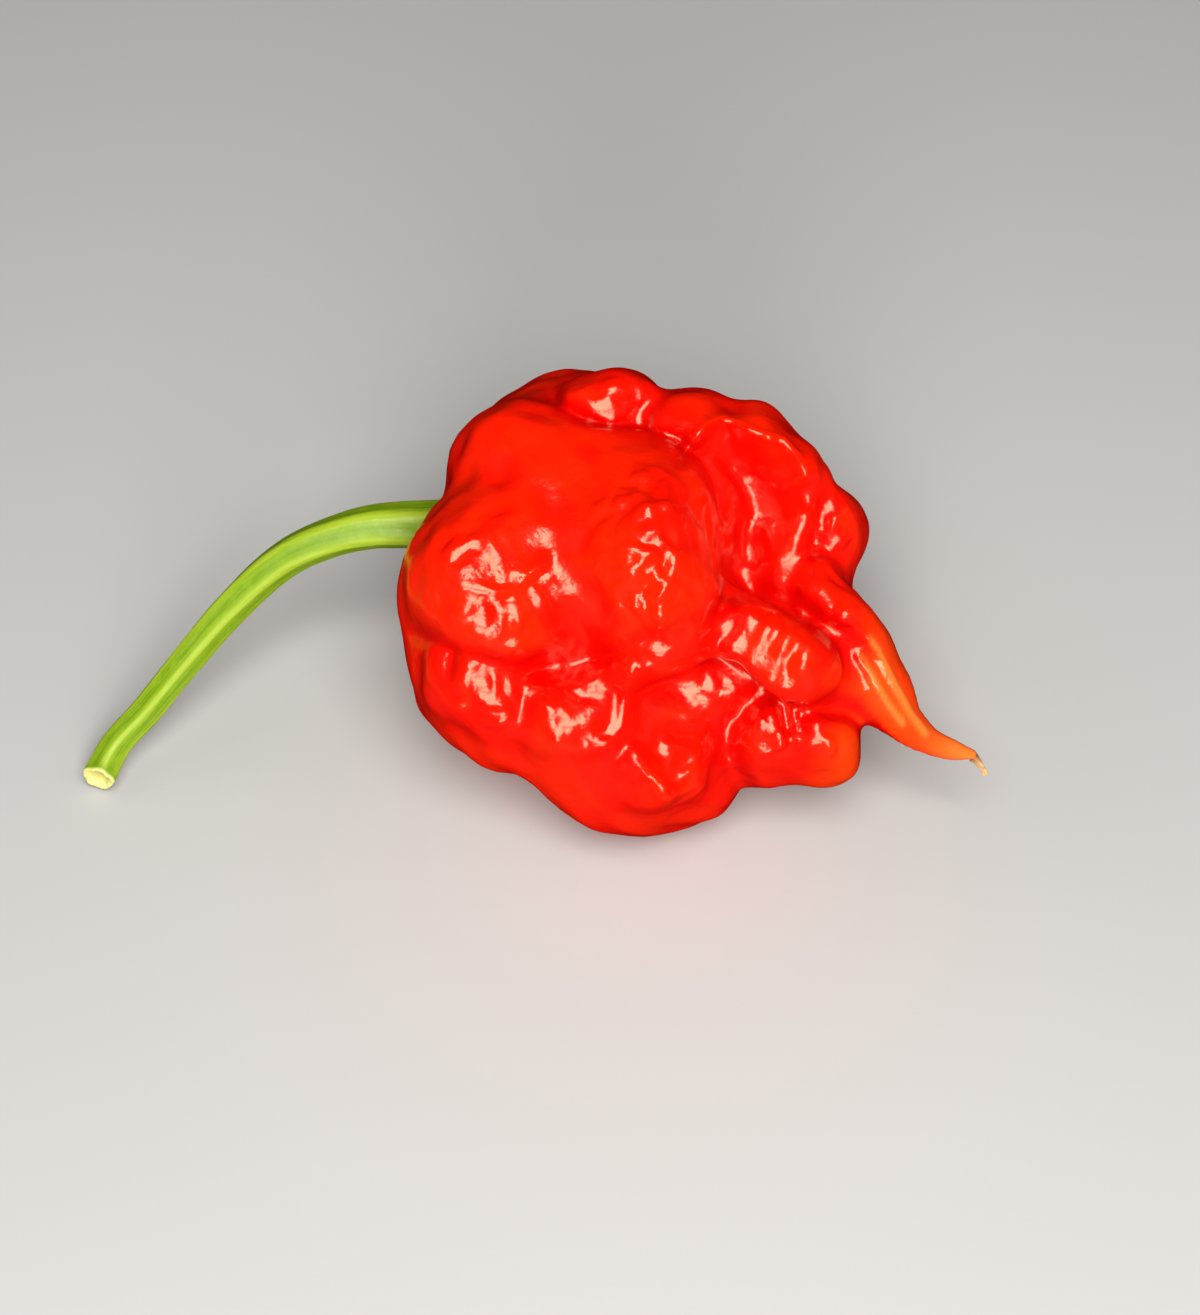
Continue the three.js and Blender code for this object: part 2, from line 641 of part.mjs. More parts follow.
// Section of the cap, from the middle of its underside over its rim: shares of its radius and thickness
const CAP_PROFILE = [
  { share: 0.3, height: 0 },
  { share: 0.6, height: 0 },
  { share: 0.85, height: 0 },
  { share: 1, height: 0 },
  { share: 1, height: 0.55 },
  { share: 0.93, height: 1 },
];

function stalkGeometry() {
  const axis = vector(CAP_AXIS).normalize();
  const side = new THREE.Vector3(0, 1, 0);
  side.addScaledVector(axis, -side.dot(axis)).normalize();
  const rise = new THREE.Vector3().crossVectors(axis, side);
  const foot = { at: vector(CAP_FOOT), along: axis, side, rise };

  const cap = CAP_PROFILE.map(({ share, height }) => {
    return capRing(foot, share, CALYX_GAP + height * CALYX_THICKNESS);
  });
  const first = restOnPod(foot.at, axis.clone().negate(), CALYX_GAP);

  const start = first.clone().addScaledVector(axis, STALK_FOOT_RISE);
  const line = new THREE.CatmullRomCurve3([start, ...STALK_LINE.map(vector)]);
  const frames = framesAlong(line, STALK_STEPS, side);
  const cut = cutRings(frames.pop());
  const stem = frames.map((frame) => stalkRing(frame));
  return loft(first, [...cap, ...stem, ...cut.rings], cut.last);
}

// Dry style on the tail's tip

const STYLE_STEPS = 5;
const STYLE_CORNERS = 8;

function styleGeometry() {
  const line = new THREE.CatmullRomCurve3(STYLE_LINE.map(vector));
  const frames = framesAlong(line, STYLE_STEPS, new THREE.Vector3(0, 0, 1));
  const angles = Array.from({ length: STYLE_CORNERS }, (_, n) => (2 * Math.PI * n) / STYLE_CORNERS);
  const rings = frames.map((frame) => {
    const radius = alongRadii(STYLE_RADII, frame.share);
    return angles.map((angle) => ringPoint(frame, angle, radius));
  });
  return loft(line.getPoint(0), rings, line.getPoint(1));
}

// Materials

const ripeSkin = new THREE.MeshStandardMaterial({ color: 0xe01f08, roughness: 0.22, metalness: 0 });
const greenStalk = new THREE.MeshStandardMaterial({ color: 0x8fbf24, roughness: 0.5, metalness: 0 });
const dryStyle = new THREE.MeshStandardMaterial({ color: 0xcfae74, roughness: 0.85, metalness: 0 });

// The pepper, laid on its back lobes over the origin, with its feet in the surface at zero

function named(name, geometry, material) {
  const mesh = new THREE.Mesh(geometry, material);
  mesh.name = name;
  return mesh;
}

const pepper = new THREE.Group();
pepper.add(named('pod', podGeometry(), ripeSkin));
pepper.add(named('stalk', stalkGeometry(), greenStalk));
pepper.add(named('style_tip', styleGeometry(), dryStyle));
pepper.rotation.x = FACE_LEAN;
pepper.position.set(...MIDDLE);

const model = new THREE.Group();
model.add(pepper);

export default model;
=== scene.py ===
"""Ripe wrinkled chilli pepper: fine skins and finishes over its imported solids, with floor, light and camera.

The pepper's own axes are X towards its tail, Y up its face and Z out of its face, in millimetres. Every mesh
is made in them and then laid in the row's frame, in metres.
"""

import logging
import math
from dataclasses import dataclass, field
from enum import Enum
from typing import Callable

import bpy
import numpy as np
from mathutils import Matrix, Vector


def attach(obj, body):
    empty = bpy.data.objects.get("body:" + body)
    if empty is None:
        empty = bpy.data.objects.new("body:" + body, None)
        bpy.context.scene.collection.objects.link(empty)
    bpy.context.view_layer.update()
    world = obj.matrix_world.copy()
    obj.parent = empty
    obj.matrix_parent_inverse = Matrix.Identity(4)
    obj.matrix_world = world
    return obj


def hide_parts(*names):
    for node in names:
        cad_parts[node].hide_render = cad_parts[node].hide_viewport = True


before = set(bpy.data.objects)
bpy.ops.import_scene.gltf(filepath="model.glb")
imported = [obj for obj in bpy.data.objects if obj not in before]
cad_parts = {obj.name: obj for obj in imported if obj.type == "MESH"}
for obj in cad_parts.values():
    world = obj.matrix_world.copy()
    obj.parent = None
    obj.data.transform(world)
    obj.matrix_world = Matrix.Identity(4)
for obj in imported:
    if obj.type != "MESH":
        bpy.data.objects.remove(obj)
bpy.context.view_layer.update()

Points = np.ndarray
Faces = list[list[int]]
Colour = tuple[float, float, float]
Place = tuple[float, float, float]
log = logging.getLogger("pepper")

MILLIMETRE = 0.001


# Shape helpers


def smoothstep(low: float, high: float, value: Points) -> Points:
    """Ramp from 0 at low to 1 at high with level ends.

    Args:
        low: Value at which the ramp leaves 0.
        high: Value at which it reaches 1.
        value: Values to map.

    Returns:
        The ramp's height at each value.
    """
    share = np.clip((value - low) / (high - low), 0.0, 1.0)
    return share * share * (3.0 - 2.0 * share)


def joined(a: Points, b: Points, blend: float) -> Points:
    """Union of two distances, with a fillet where they meet.

    Args:
        a: Distance to the first shape.
        b: Distance to the second shape.
        blend: Width of the fillet in millimetres.

    Returns:
        Distance to both shapes together.
    """
    if blend <= 0.0:
        return np.minimum(a, b)
    overlap = np.maximum(blend - np.abs(a - b), 0.0)
    return np.minimum(a, b) - overlap * overlap / (4.0 * blend)


def segment_reach(points: Points, start: Points, end: Points) -> tuple[Points, Points]:
    """Distance of points from a straight segment.

    Args:
        points: Points, one a row.
        start: First end of the segment.
        end: Other end of the segment.

    Returns:
        The distances, and the share of the segment at which each point is nearest to it.
    """
    edge = end - start
    offset = points - start
    share = np.clip(offset @ edge / (edge @ edge), 0.0, 1.0)
    return np.linalg.norm(offset - share[:, None] * edge, axis=1), share


def unit(vectors: Points) -> Points:
    """Vectors scaled to length one."""
    return vectors / np.maximum(np.linalg.norm(vectors, axis=-1, keepdims=True), 1e-9)


def shuffled(order: Points, cell: Points) -> Points:
    """Seeded number from 0 to 255 for each cell of a lattice, one cell a row."""
    x, y, z = (cell & 255).T
    return order[(order[(order[x] + y) & 255] + z) & 255]


class GradientNoise:
    """Smooth noise that gives the same values each run."""

    def __init__(self, seed: int) -> None:
        """Draws the lattice of slopes.

        Args:
            seed: Seed of the draw.
        """
        draw = np.random.default_rng(seed)
        self.order = draw.permutation(256)
        self.slopes = unit(draw.normal(size=(256, 3)))

    def at(self, points: Points, wavelength: float) -> Points:
        """Noise at points.

        Args:
            points: Points in millimetres, one a row.
            wavelength: Size of the noise's lattice in millimetres.

        Returns:
            Values from about -1 to 1.
        """
        scaled = points / wavelength
        corner = np.floor(scaled).astype(int)
        inside = scaled - corner
        ease = inside ** 3 * (inside * (inside * 6.0 - 15.0) + 10.0)
        total = np.zeros(len(points))
        for step in np.ndindex(2, 2, 2):
            slope = self.slopes[shuffled(self.order, corner + step)]
            weight = np.prod(np.where(np.array(step) == 1, ease, 1.0 - ease), axis=1)
            total += weight * np.einsum("ij,ij->i", slope, inside - step)
        return 1.6 * total


class DimpleCells:
    """Irregular cells that give the same pattern each run."""

    def __init__(self, seed: int) -> None:
        """Draws where the cells' middles lie.

        Args:
            seed: Seed of the draw.
        """
        draw = np.random.default_rng(seed)
        self.order = draw.permutation(256)
        self.middles = draw.random((256, 3))

    def border(self, points: Points, size: float) -> Points:
        """Distance to the nearest border between cells.

        Args:
            points: Points in millimetres, one a row.
            size: Mean size of a cell in millimetres.

        Returns:
            Distances in millimetres.
        """
        scaled = points / size
        home = np.floor(scaled).astype(int)
        nearest = np.full(len(points), np.inf)
        second = nearest.copy()
        for step in np.ndindex(3, 3, 3):
            cell = home + np.array(step) - 1
            middle = cell + self.middles[shuffled(self.order, cell)]
            reach = np.linalg.norm(scaled - middle, axis=1)
            second = np.minimum(second, np.maximum(nearest, reach))
            nearest = np.minimum(nearest, reach)
        return 0.5 * size * (second - nearest)


@dataclass(frozen=True)
class SmoothLine:
    """Curve through points that eases between them by the root of their spacing."""

    knots: tuple[Place, ...]

    def by_knot(self, shares: Points) -> Points:
        """Places on the curve, with the knots at even shares.

        Args:
            shares: Shares of the way from the first knot to the last.

        Returns:
            One place a row.
        """
        knots = np.array(self.knots, float)
        before = 2.0 * knots[0] - knots[1]
        after = 2.0 * knots[-1] - knots[-2]
        padded = np.vstack([before, knots, after])
        place = np.clip(shares, 0.0, 1.0) * (len(knots) - 1)
        index = np.minimum(place.astype(int), len(knots) - 2)
        share = (place - index)[:, None]
        p0, p1, p2, p3 = (padded[index + step] for step in range(4))
        steps = ((p0, p1), (p1, p2), (p2, p3))
        gaps = [np.linalg.norm(b - a, axis=1, keepdims=True) ** 0.5 for a, b in steps]
        leave = ((p1 - p0) / gaps[0] - (p2 - p0) / (gaps[0] + gaps[1]) + (p2 - p1) / gaps[1]) * gaps[1]
        arrive = ((p2 - p1) / gaps[1] - (p3 - p1) / (gaps[1] + gaps[2]) + (p3 - p2) / gaps[2]) * gaps[1]
        bend = 3.0 * (p2 - p1) - 2.0 * leave - arrive
        twist = 2.0 * (p1 - p2) + leave + arrive
        return p1 + share * (leave + share * (bend + share * twist))

    def by_length(self, count: int) -> Points:
        """Places at even steps of length.

        Args:
            count: Number of places, both ends counted.

        Returns:
            One place a row.
        """
        fine = self.by_knot(np.linspace(0.0, 1.0, 1200))
        length = np.concatenate([[0.0], np.cumsum(np.linalg.norm(np.diff(fine, axis=0), axis=1))])
        wanted = np.linspace(0.0, length[-1], count)
        return np.stack([np.interp(wanted, length, fine[:, axis]) for axis in range(3)], axis=1)


@dataclass(frozen=True)
class Lie:
    """How the pepper lies: its face leans back, and its middle stands over the origin."""

    face_lean: float = math.radians(40.0)
    middle: Place = (7.49, -0.9, 15.2)

    def to_frame(self, points: Points) -> Points:
        """Points of the pepper, in millimetres, as points of the row's frame, in metres."""
        turn = np.array([
            [1.0, 0.0, 0.0],
            [0.0, math.cos(self.face_lean), -math.sin(self.face_lean)],
            [0.0, math.sin(self.face_lean), math.cos(self.face_lean)],
        ])
        return (points @ turn.T + self.middle) * MILLIMETRE

    def height(self, points: Points) -> Points:
        """Height of the pepper's points over the surface that it lies on, in millimetres."""
        rise, reach = math.sin(self.face_lean), math.cos(self.face_lean)
        return self.middle[2] + points[:, 1] * rise + points[:, 2] * reach


LIE = Lie()


def mesh_object(name: str, points: Points, faces: Faces, attributes: dict[str, Points]) -> bpy.types.Object:
    """Smooth-shaded mesh object in the row's frame.

    Args:
        name: Name of the object.
        points: Vertices in the pepper's millimetres.
        faces: Vertex numbers of each face.
        attributes: Value at each vertex, for each named attribute.

    Returns:
        The new object, linked to the scene.
    """
    mesh = bpy.data.meshes.new(name)
    mesh.from_pydata(LIE.to_frame(points).tolist(), [], faces)
    for label, values in attributes.items():
        layer = mesh.attributes.new(label, "FLOAT", "POINT")
        layer.data.foreach_set("value", np.asarray(values, np.float32))
    mesh.polygons.foreach_set("use_smooth", np.ones(len(mesh.polygons), bool))
    mesh.update()
    made = bpy.data.objects.new(name, mesh)
    bpy.context.scene.collection.objects.link(made)
    return made


# Form of the pod


class Side(Enum):
    """Side of the pod that a fold is drawn on."""

    FACE = 1.0
    BACK = -1.0


class Cut(Enum):
    """Cross-section of a fold."""

    CREASE = "crease"
    VALLEY = "valley"


@dataclass(frozen=True)
class Lobe:
    """Swollen ellipsoid of the pod, or one pressed into the lobes before it."""

    centre: Place
    half: Place
    turn: float
    blend: float
    squareness: float = 2.0
    pressed: bool = False

    def distance(self, points: Points) -> Points:
        """Distance outside the lobe.

        Args:
            points: Points in millimetres, one a row.

        Returns:
            Distances, less than zero inside.
        """
        c, s = math.cos(math.radians(self.turn)), math.sin(math.radians(self.turn))
        offset = points - np.array(self.centre, points.dtype)
        along, across = offset[:, 0] * c + offset[:, 1] * s, offset[:, 1] * c - offset[:, 0] * s
        local = np.stack([along, across, offset[:, 2]], axis=1)
        half = np.array(self.half, points.dtype)
        power = self.squareness
        if power == 2.0:
            near = np.linalg.norm(local / half, axis=1)
            slope = np.linalg.norm(local / (half * half), axis=1)
            return near * (near - 1.0) / np.maximum(slope, 1e-6)
        scaled = np.abs(local / half)
        near = np.maximum((scaled ** power).sum(axis=1) ** (1.0 / power), 0.05)
        slope = np.linalg.norm(scaled ** (power - 1.0) / half, axis=1) / near ** (power - 1.0)
        return (near - 1.0) / np.maximum(slope, 0.02)


@dataclass(frozen=True)
class Fold:
    """Fold drawn across one side of the pod; a negative depth is a raised ridge."""

    side: Side
    cut: Cut
    depth: float
    width: float
    points: tuple[tuple[float, float], ...]
    rounding: float = 0.14

    def depth_at(self, points: Points) -> Points:
        """How far the fold sinks the skin at points.

        Args:
            points: Points in millimetres, one a row.

        Returns:
            Depths in millimetres.
        """
        flat = points[:, :2]
        distance = np.full(len(points), np.inf)
        for start, end in zip(self.points[:-1], self.points[1:]):
            reach, _ = segment_reach(flat, np.array(start), np.array(end))
            distance = np.minimum(distance, reach)
        if self.cut is Cut.CREASE:
            shape = np.exp((self.rounding - np.hypot(distance, self.rounding)) / self.width)
        else:
            shape = np.exp(-((distance / self.width) ** 2))
        return self.depth * shape * smoothstep(-1.0, 3.0, self.side.value * points[:, 2])


@dataclass(frozen=True)
class TailStation:
    """Place along the middle of the tail and the radius there."""

    at: Place
    radius: float


FINGER = Lobe((8.7, -3.1, 6), (4.8, 2.4, 4.5), -35, 1.1, 3.5)

LOBES = (
    # body inside all the lobes
    Lobe((0, 0, -1), (12.2, 12.2, 11), 0, 0),
    # basin under the arch, with the arch over it
    Lobe((8.6, 4.8, -2.2), (5.4, 6, 9), 0, 2.5),
    Lobe((4.2, 11.8, 0.4), (3.3, 2.9, 7), 8, 1.6),
    Lobe((8.8, 10.7, 0.8), (3.4, 3.1, 7), -32, 1.6),
    Lobe((11.1, 8.1, 1), (2.8, 3.4, 6.6), -12, 1.4),
    Lobe((4, 1.5, 12.5), (11.5, 12, 9.8), 0, 1.2, pressed=True),
    # face: what lies under the cheeks, the two cheeks, the shoulder over the stalk and the brow
    Lobe((-4.8, 3.6, 2.4), (9.4, 8.8, 9.8), 0, 3),
    Lobe((-0.8, -2.7, 3.8), (5.4, 2.8, 6.4), 12, 2),
    Lobe((-9.7, 1, 4.4), (6.2, 6, 8.5), -12, 2.8, 2.6),
    Lobe((1.1, 2.5, 5.7), (5.2, 6.4, 8.7), 20, 3, 2.25),
    Lobe((-6.8, 8.9, -0.8), (6.2, 5.9, 8.2), 30, 3.2),
    Lobe((0.5, 6.8, 3), (5.8, 4.8, 7.5), -20, 3),
    # upper edge: the top lobe, and the ear at the end of the arch
    Lobe((-2, 13.1, -0.6), (5.2, 3.5, 7.2), -8, 1.2),
    Lobe((-5.2, 11.1, -2.4), (4.6, 4.9, 6), 0, 2.2),
    Lobe((13.7, 5.3, -0.6), (2.7, 3.7, 5.2), 24, 0.9),
    Lobe((13.7, 1.5, 0.6), (2.2, 2, 4.6), 0, 1.2),
    # tail side: the slanting finger, what lies under it, and the fold into the tail
    Lobe((5.6, -6, -1.2), (6.5, 5.6, 7), 0, 1.5),
    Lobe((11.6, -6.6, 0.8), (4.2, 3.6, 5), -30, 1.4),
    FINGER,
    Lobe((6, -1.4, 4), (2, 2, 4.4), 0, 1.4),
    Lobe((11.7, -5.6, 5.2), (2.4, 2.3, 4.3), -35, 1),
    Lobe((14.7, -1.3, 2.8), (3.6, 2.2, 4.4), -42, 1.5),
    # lower edge: heel, chin and jaws, with the lip over them
    Lobe((12.7, -10.1, 0.8), (3.7, 2.6, 5.6), -14, 1.1),
    Lobe((14.3, -9.9, 0.8), (2.2, 2.2, 4.6), 0, 1),
    Lobe((9.4, -9.9, 0.8), (2.6, 3.2, 6.2), 0, 1.3),
    Lobe((0.2, -12.1, 0.2), (5, 4.2, 7.2), 8, 1.6),
    Lobe((4.3, -11.9, -0.6), (3.7, 3.2, 6.4), 30, 1.5),
    Lobe((-3, -12.2, -0.2), (3.3, 3.4, 6.4), 0, 1.5),
    Lobe((-4, -8.4, 3.4), (5.2, 4.6, 6.8), -14, 2.6),
    Lobe((-11.1, -5.3, 2.6), (5.7, 4.6, 7), -24, 2.6),
    Lobe((-8.5, -7.4, 1.6), (4.4, 4.4, 6.4), 0, 1.5),
    Lobe((0.6, -4.1, 6.6), (5.2, 1.4, 3.8), 16, 1.4),
    # back of the pod
    Lobe((-8.2, -0.6, -6), (6.8, 6.2, 7), 0, 1.5),
    Lobe((-8.6, 7.6, -5.2), (5, 5, 6.2), 20, 1.5),
    Lobe((-10.4, 9, -4.4), (3.7, 3.2, 4.2), 0, 1.3),
    Lobe((-9.6, 4.2, -9.2), (4.9, 4.4, 3.9), 0, 1.3),
    Lobe((-1.8, 9.2, -6.6), (5.6, 5.6, 6.2), 0, 1.3),
    Lobe((6.4, 7.6, -6.2), (5.6, 5, 6.2), -20, 1.3),
    Lobe((11.6, 1, -4.8), (3.4, 5, 5.8), 0, 1.3),
    Lobe((0.2, 2.4, -9.4), (5.4, 5, 4.6), 0, 1.2),
    # the three lobes that it lies on
    Lobe((-6.4, -3.2, -9.4), (6.7, 6.4, 6.4), 0, 2.2),
    Lobe((7.2, -3, -9.5), (6.7, 6.2, 6.4), 0, 2.2),
    Lobe((0.8, -10.6, -5.2), (6.2, 5.8, 6.2), 0, 1.8),
)

HOLLOWS = (
    # under the lip
    Lobe((4.6, -7, 12), (3.9, 3, 5.8), 10, 1.8),
    # round the foot of the stalk
    Lobe((-15.6, 5.2, -4.2), (5.2, 4.4, 4.9), 0, 1.8),
)

TAIL_RIDGES = (
    Fold(Side.FACE, Cut.VALLEY, -0.22, 0.3, ((15.6, -3.9), (16.3, -4.9), (17.6, -7.1), (18.9, -8.7))),
    Fold(Side.FACE, Cut.VALLEY, -0.2, 0.3, (
        (16.4, -2.9), (17, -3.6), (18.1, -5.7), (19.4, -7.9), (20.6, -9.4))),
)

FOLDS = (
    # under the cheeks and behind the brow
    Fold(Side.FACE, Cut.CREASE, 0.5, 0.7, (
        (-15.2, -2.5), (-13.8, -3.2), (-9.9, -4.5), (-7.5, -4.9), (-3.9, -4.5), (-0.3, -3.3),
        (2.7, -2.3), (4.6, -1.1), (5.7, -0.8)), 0.35),
    Fold(Side.FACE, Cut.CREASE, 0.6, 0.6, (
        (-6.6, 15.6), (-5.2, 13.6), (-3.9, 12.8), (-1.6, 12.2), (0.6, 12), (3.1, 11),
        (4.6, 9.7), (5.6, 7.9), (6, 5.6))),
    # between the arch and the ear
    Fold(Side.FACE, Cut.CREASE, 0.25, 0.6, ((13, 9.6), (12.9, 6.6), (12.6, 4.6)), 0.3),
    # between the two cheeks, and in the shoulder
    Fold(Side.FACE, Cut.VALLEY, 0.2, 2.4, ((-4.6, 6.5), (-4.9, 3.2), (-4.2, 0.2), (-3.9, -3.5))),
    Fold(Side.FACE, Cut.VALLEY, 0.2, 1.6, ((-14.6, 8.6), (-12, 8), (-9.6, 8.2))),
    # ridges on the arch, the jaw, the chin, the heel and the tail
    Fold(Side.FACE, Cut.VALLEY, -0.5, 0.5, (
        (4, 10.9), (5.1, 12.1), (6.2, 12.6), (7.6, 12), (9.1, 11.3), (10.3, 11.1), (11.2, 9.9),
        (11.7, 8.6), (10.9, 7.9))),
    Fold(Side.FACE, Cut.VALLEY, -0.35, 0.6, (
        (-5.9, -10.4), (-5.3, -9.9), (-3.4, -10.6), (-1.6, -9.9), (-0.9, -8.9), (-0.6, -7), (-0.4, -5.1))),
    Fold(Side.FACE, Cut.VALLEY, -0.45, 0.6, ((-0.1, -10.6), (0.9, -12.3), (2.3, -13.9), (4.2, -12.9))),
    Fold(Side.FACE, Cut.VALLEY, -0.3, 0.4, (
        (8.5, -9.2), (8.7, -7.9), (9.4, -7.6), (10, -8.7), (10.2, -10.2))),
    *TAIL_RIDGES,
    # short folds in the left jaw
    Fold(Side.FACE, Cut.VALLEY, 0.3, 0.5, ((-12.6, -3.6), (-12.9, -5.6), (-12.4, -6.6))),
    Fold(Side.FACE, Cut.VALLEY, 0.15, 1, ((-7.8, -5.4), (-8, -8.4), (-8.6, -11))),
    # the three long creases of the back
    Fold(Side.BACK, Cut.CREASE, 0.6, 0.8, ((-13, 2.6), (-7, 3.2), (-2.6, 4.4), (2, 7.6), (3.2, 14))),
    Fold(Side.BACK, Cut.CREASE, 0.55, 0.8, ((2.4, 6.8), (6.8, 1.6), (11.4, -3), (14, -5.4))),
    Fold(Side.BACK, Cut.CREASE, 0.45, 0.8, ((-12, -5.6), (-5.4, -0.4), (0.2, -3.6), (4.4, -1))),
)

# places on the face where the skin is wrinkled: middle, half width, half height and strength
WRINKLED_PLACES = (
    # the two cheeks
    (-9.9, 0.8, 4.2, 5.6, 1.35), (1.6, 3.0, 5.0, 6.0, 2.0),
    # jaw, lip and the hollow under it
    (-10.3, -7.0, 2.4, 2.2, 1.0), (-3.7, -7.4, 4.0, 2.6, 1.0), (1.3, -4.3, 3.6, 1.8, 1.0),
    (4.8, -7.2, 2.6, 2.2, 1.0),
    # heel and chin
    (11.7, -9.1, 4.0, 2.6, 1.3), (2.1, -12.4, 3.4, 2.8, 1.9), (6.7, -11.6, 2.2, 2.0, 1.2),
    # top lobe, arch, ear and basin
    (-2.0, 13.7, 3.2, 2.0, 1.0), (9.4, 10.6, 4.0, 2.6, 0.7), (13.5, 5.0, 2.2, 3.0, 1.2),
    (9.4, 3.9, 3.4, 1.8, 1.0),
    # root of the tail
    (14.1, 0.0, 3.4, 2.8, 1.3),
)

TAIL_STATIONS = (
    TailStation((12.6, -2.4, 2.2), 3.2),
    TailStation((15.2, -4.4, 2.4), 3.15),
    TailStation((17.3, -6.35, 2.2), 2.4),
    TailStation((18.9, -8.4, 1.8), 1.52),
    TailStation((20.85, -9.93, 1.3), 0.97),
    TailStation((22.6, -10.62, 0.8), 0.75),
    TailStation((24.1, -10.98, 0.4), 0.36),
)


@dataclass(frozen=True)
class PodForm:
    """The pod's skin as a distance: its lobes, hollows, tail and folds, then its fine relief."""

    fold_drift: float = 0.55
    ripple_height: float = 0.09
    tail_blend: float = 1.2
    tail_steps: int = 24
    wander_size: float = 3.1
    blister_height: float = 0.34
    blister_size: float = 1.35
    blister_wander: float = 0.9
    rim_height: float = 0.13
    rim_width: float = 0.4
    rim_level: float = 0.4
    dimple_size: float = 2.1
    dimple_wander: float = 0.7
    pucker_height: float = 0.03
    pucker_size: float = 0.6
    patch_size: float = 7.0
    back_share: float = 0.5
    flank_share: float = 0.2
    rung_height: float = 0.1
    rung_spacing: float = 1.55
    rung_wander: float = 1.5
    rung_wander_size: float = 2.2
    rung_size: float = 1.1
    rung_stretch: float = 0.42
    tail_line_share: float = 0.5
    taut_share: float = 0.16
    grain: GradientNoise = field(default_factory=lambda: GradientNoise(11))
    dimples: DimpleCells = field(default_factory=lambda: DimpleCells(4))

    def drifted(self, p: Points) -> Points:
        """Points moved by the slow wander that keeps the lobes from being true ellipsoids."""
        x, y, z = p.T
        drift = np.stack([
            np.sin(0.55 * y + 0.9 * np.sin(0.31 * z + 1.0) + 0.4),
            np.sin(0.5 * z + 0.8 * np.sin(0.27 * x + 0.3) + 2.1),
            np.sin(0.52 * x + 0.7 * np.sin(0.33 * y + 0.8) + 4.0),
        ], axis=1)
        return p + self.fold_drift * drift.astype(p.dtype)

    def ripple(self, p: Points) -> Points:
        """Height of the low waves over the skin, which fade out on the tail."""
        x, y, z = p.T
        a = np.sin(1.25 * x + 0.55 * y + 1.3 * np.sin(0.42 * z + 0.5))
        b = np.sin(1.18 * y - 0.47 * z + 1.1 * np.sin(0.47 * x + 1.9))
        c = np.sin(1.22 * z + 0.61 * x + 1.2 * np.sin(0.39 * y + 2.6))
        return self.ripple_height * (a * b + b * c + c * a) * (1.0 - smoothstep(15.0, 22.0, x))

    def tail_distance(self, p: Points) -> Points:
        """Distance outside the tail, a chain of tapering rods along its bent middle line."""
        line = SmoothLine(tuple(station.at for station in TAIL_STATIONS))
        shares = np.linspace(0.0, 1.0, self.tail_steps + 1)
        places = line.by_knot(shares).astype(p.dtype)
        knots = np.linspace(0.0, 1.0, len(TAIL_STATIONS))
        radii = np.interp(shares, knots, [station.radius for station in TAIL_STATIONS])
        nearest = np.full(len(p), np.inf)
        for start, end, thick, thin in zip(places[:-1], places[1:], radii[:-1], radii[1:]):
            reach, share = segment_reach(p, start, end)
            nearest = np.minimum(nearest, reach - thick - share * (thin - thick))
        return nearest

    def broad(self, p: Points) -> Points:
        """Distance outside the skin without its fine relief.

        Args:
            p: Points in millimetres, one a row.

        Returns:
            Distances, less than zero inside.
        """
        q = self.drifted(p)
        distance = LOBES[0].distance(q)
        for lobe in LOBES[1:]:
            if lobe.pressed:
                distance = -joined(-distance, lobe.distance(q), lobe.blend)
            else:
                distance = joined(distance, lobe.distance(q), lobe.blend)
        for hollow in HOLLOWS:
            distance = -joined(-distance, hollow.distance(q), hollow.blend)
        distance = joined(distance, self.tail_distance(p), self.tail_blend)
        for fold in FOLDS:
            distance = distance + fold.depth_at(p)
        return np.maximum(distance + self.ripple(p), -LIE.height(p))

    def relief(self, p: Points, normal: Points) -> Points:
        """Height of the skin's blisters, of the rims between its dimples and of its puckers.

        Args:
            p: Points in millimetres, one a row.
            normal: The skin's direction at each.

        Returns:
            Heights in millimetres.
        """
        wander = np.stack([self.grain.at(p + apart, self.wander_size) for apart in (0.0, 31.7, 63.1)], axis=1)
        blister = self.grain.at(p + self.blister_wander * wander, self.blister_size)
        border = self.dimples.border(p + self.dimple_wander * wander, self.dimple_size)
        rim = np.exp(-((border / self.rim_width) ** 2)) - self.rim_level
        pucker = self.grain.at(p + 41.1, self.pucker_size)
        patchy = 0.6 + 0.4 * smoothstep(-0.35, 0.4, self.grain.at(p + 7.9, self.patch_size))
        on_tail = 1.0 - 0.8 * smoothstep(15.5, 19.0, p[:, 0])
        resting = smoothstep(0.0, 0.8, LIE.height(p))
        wrinkled = np.full(len(p), self.taut_share)
        for x, y, half_width, half_height, strength in WRINKLED_PLACES:
            reach = ((p[:, 0] - x) / half_width) ** 2 + ((p[:, 1] - y) / half_height) ** 2
            wrinkled = np.maximum(wrinkled, strength * smoothstep(1.4, 0.5, reach))
        on_face = self.back_share + (wrinkled - self.back_share) * smoothstep(-0.1, 0.2, normal[:, 2])
        flank = smoothstep(0.4, 0.85, np.abs(normal[:, 2]))
        on_face *= self.flank_share + (1.0 - self.flank_share) * flank
        height = self.blister_height * blister + self.rim_height * rim + self.pucker_height * pucker
        height *= patchy * on_tail * resting * on_face
        tail_lines = sum(ridge.depth_at(p) for ridge in TAIL_RIDGES)
        return height + self.rungs(p) - self.tail_line_share * tail_lines

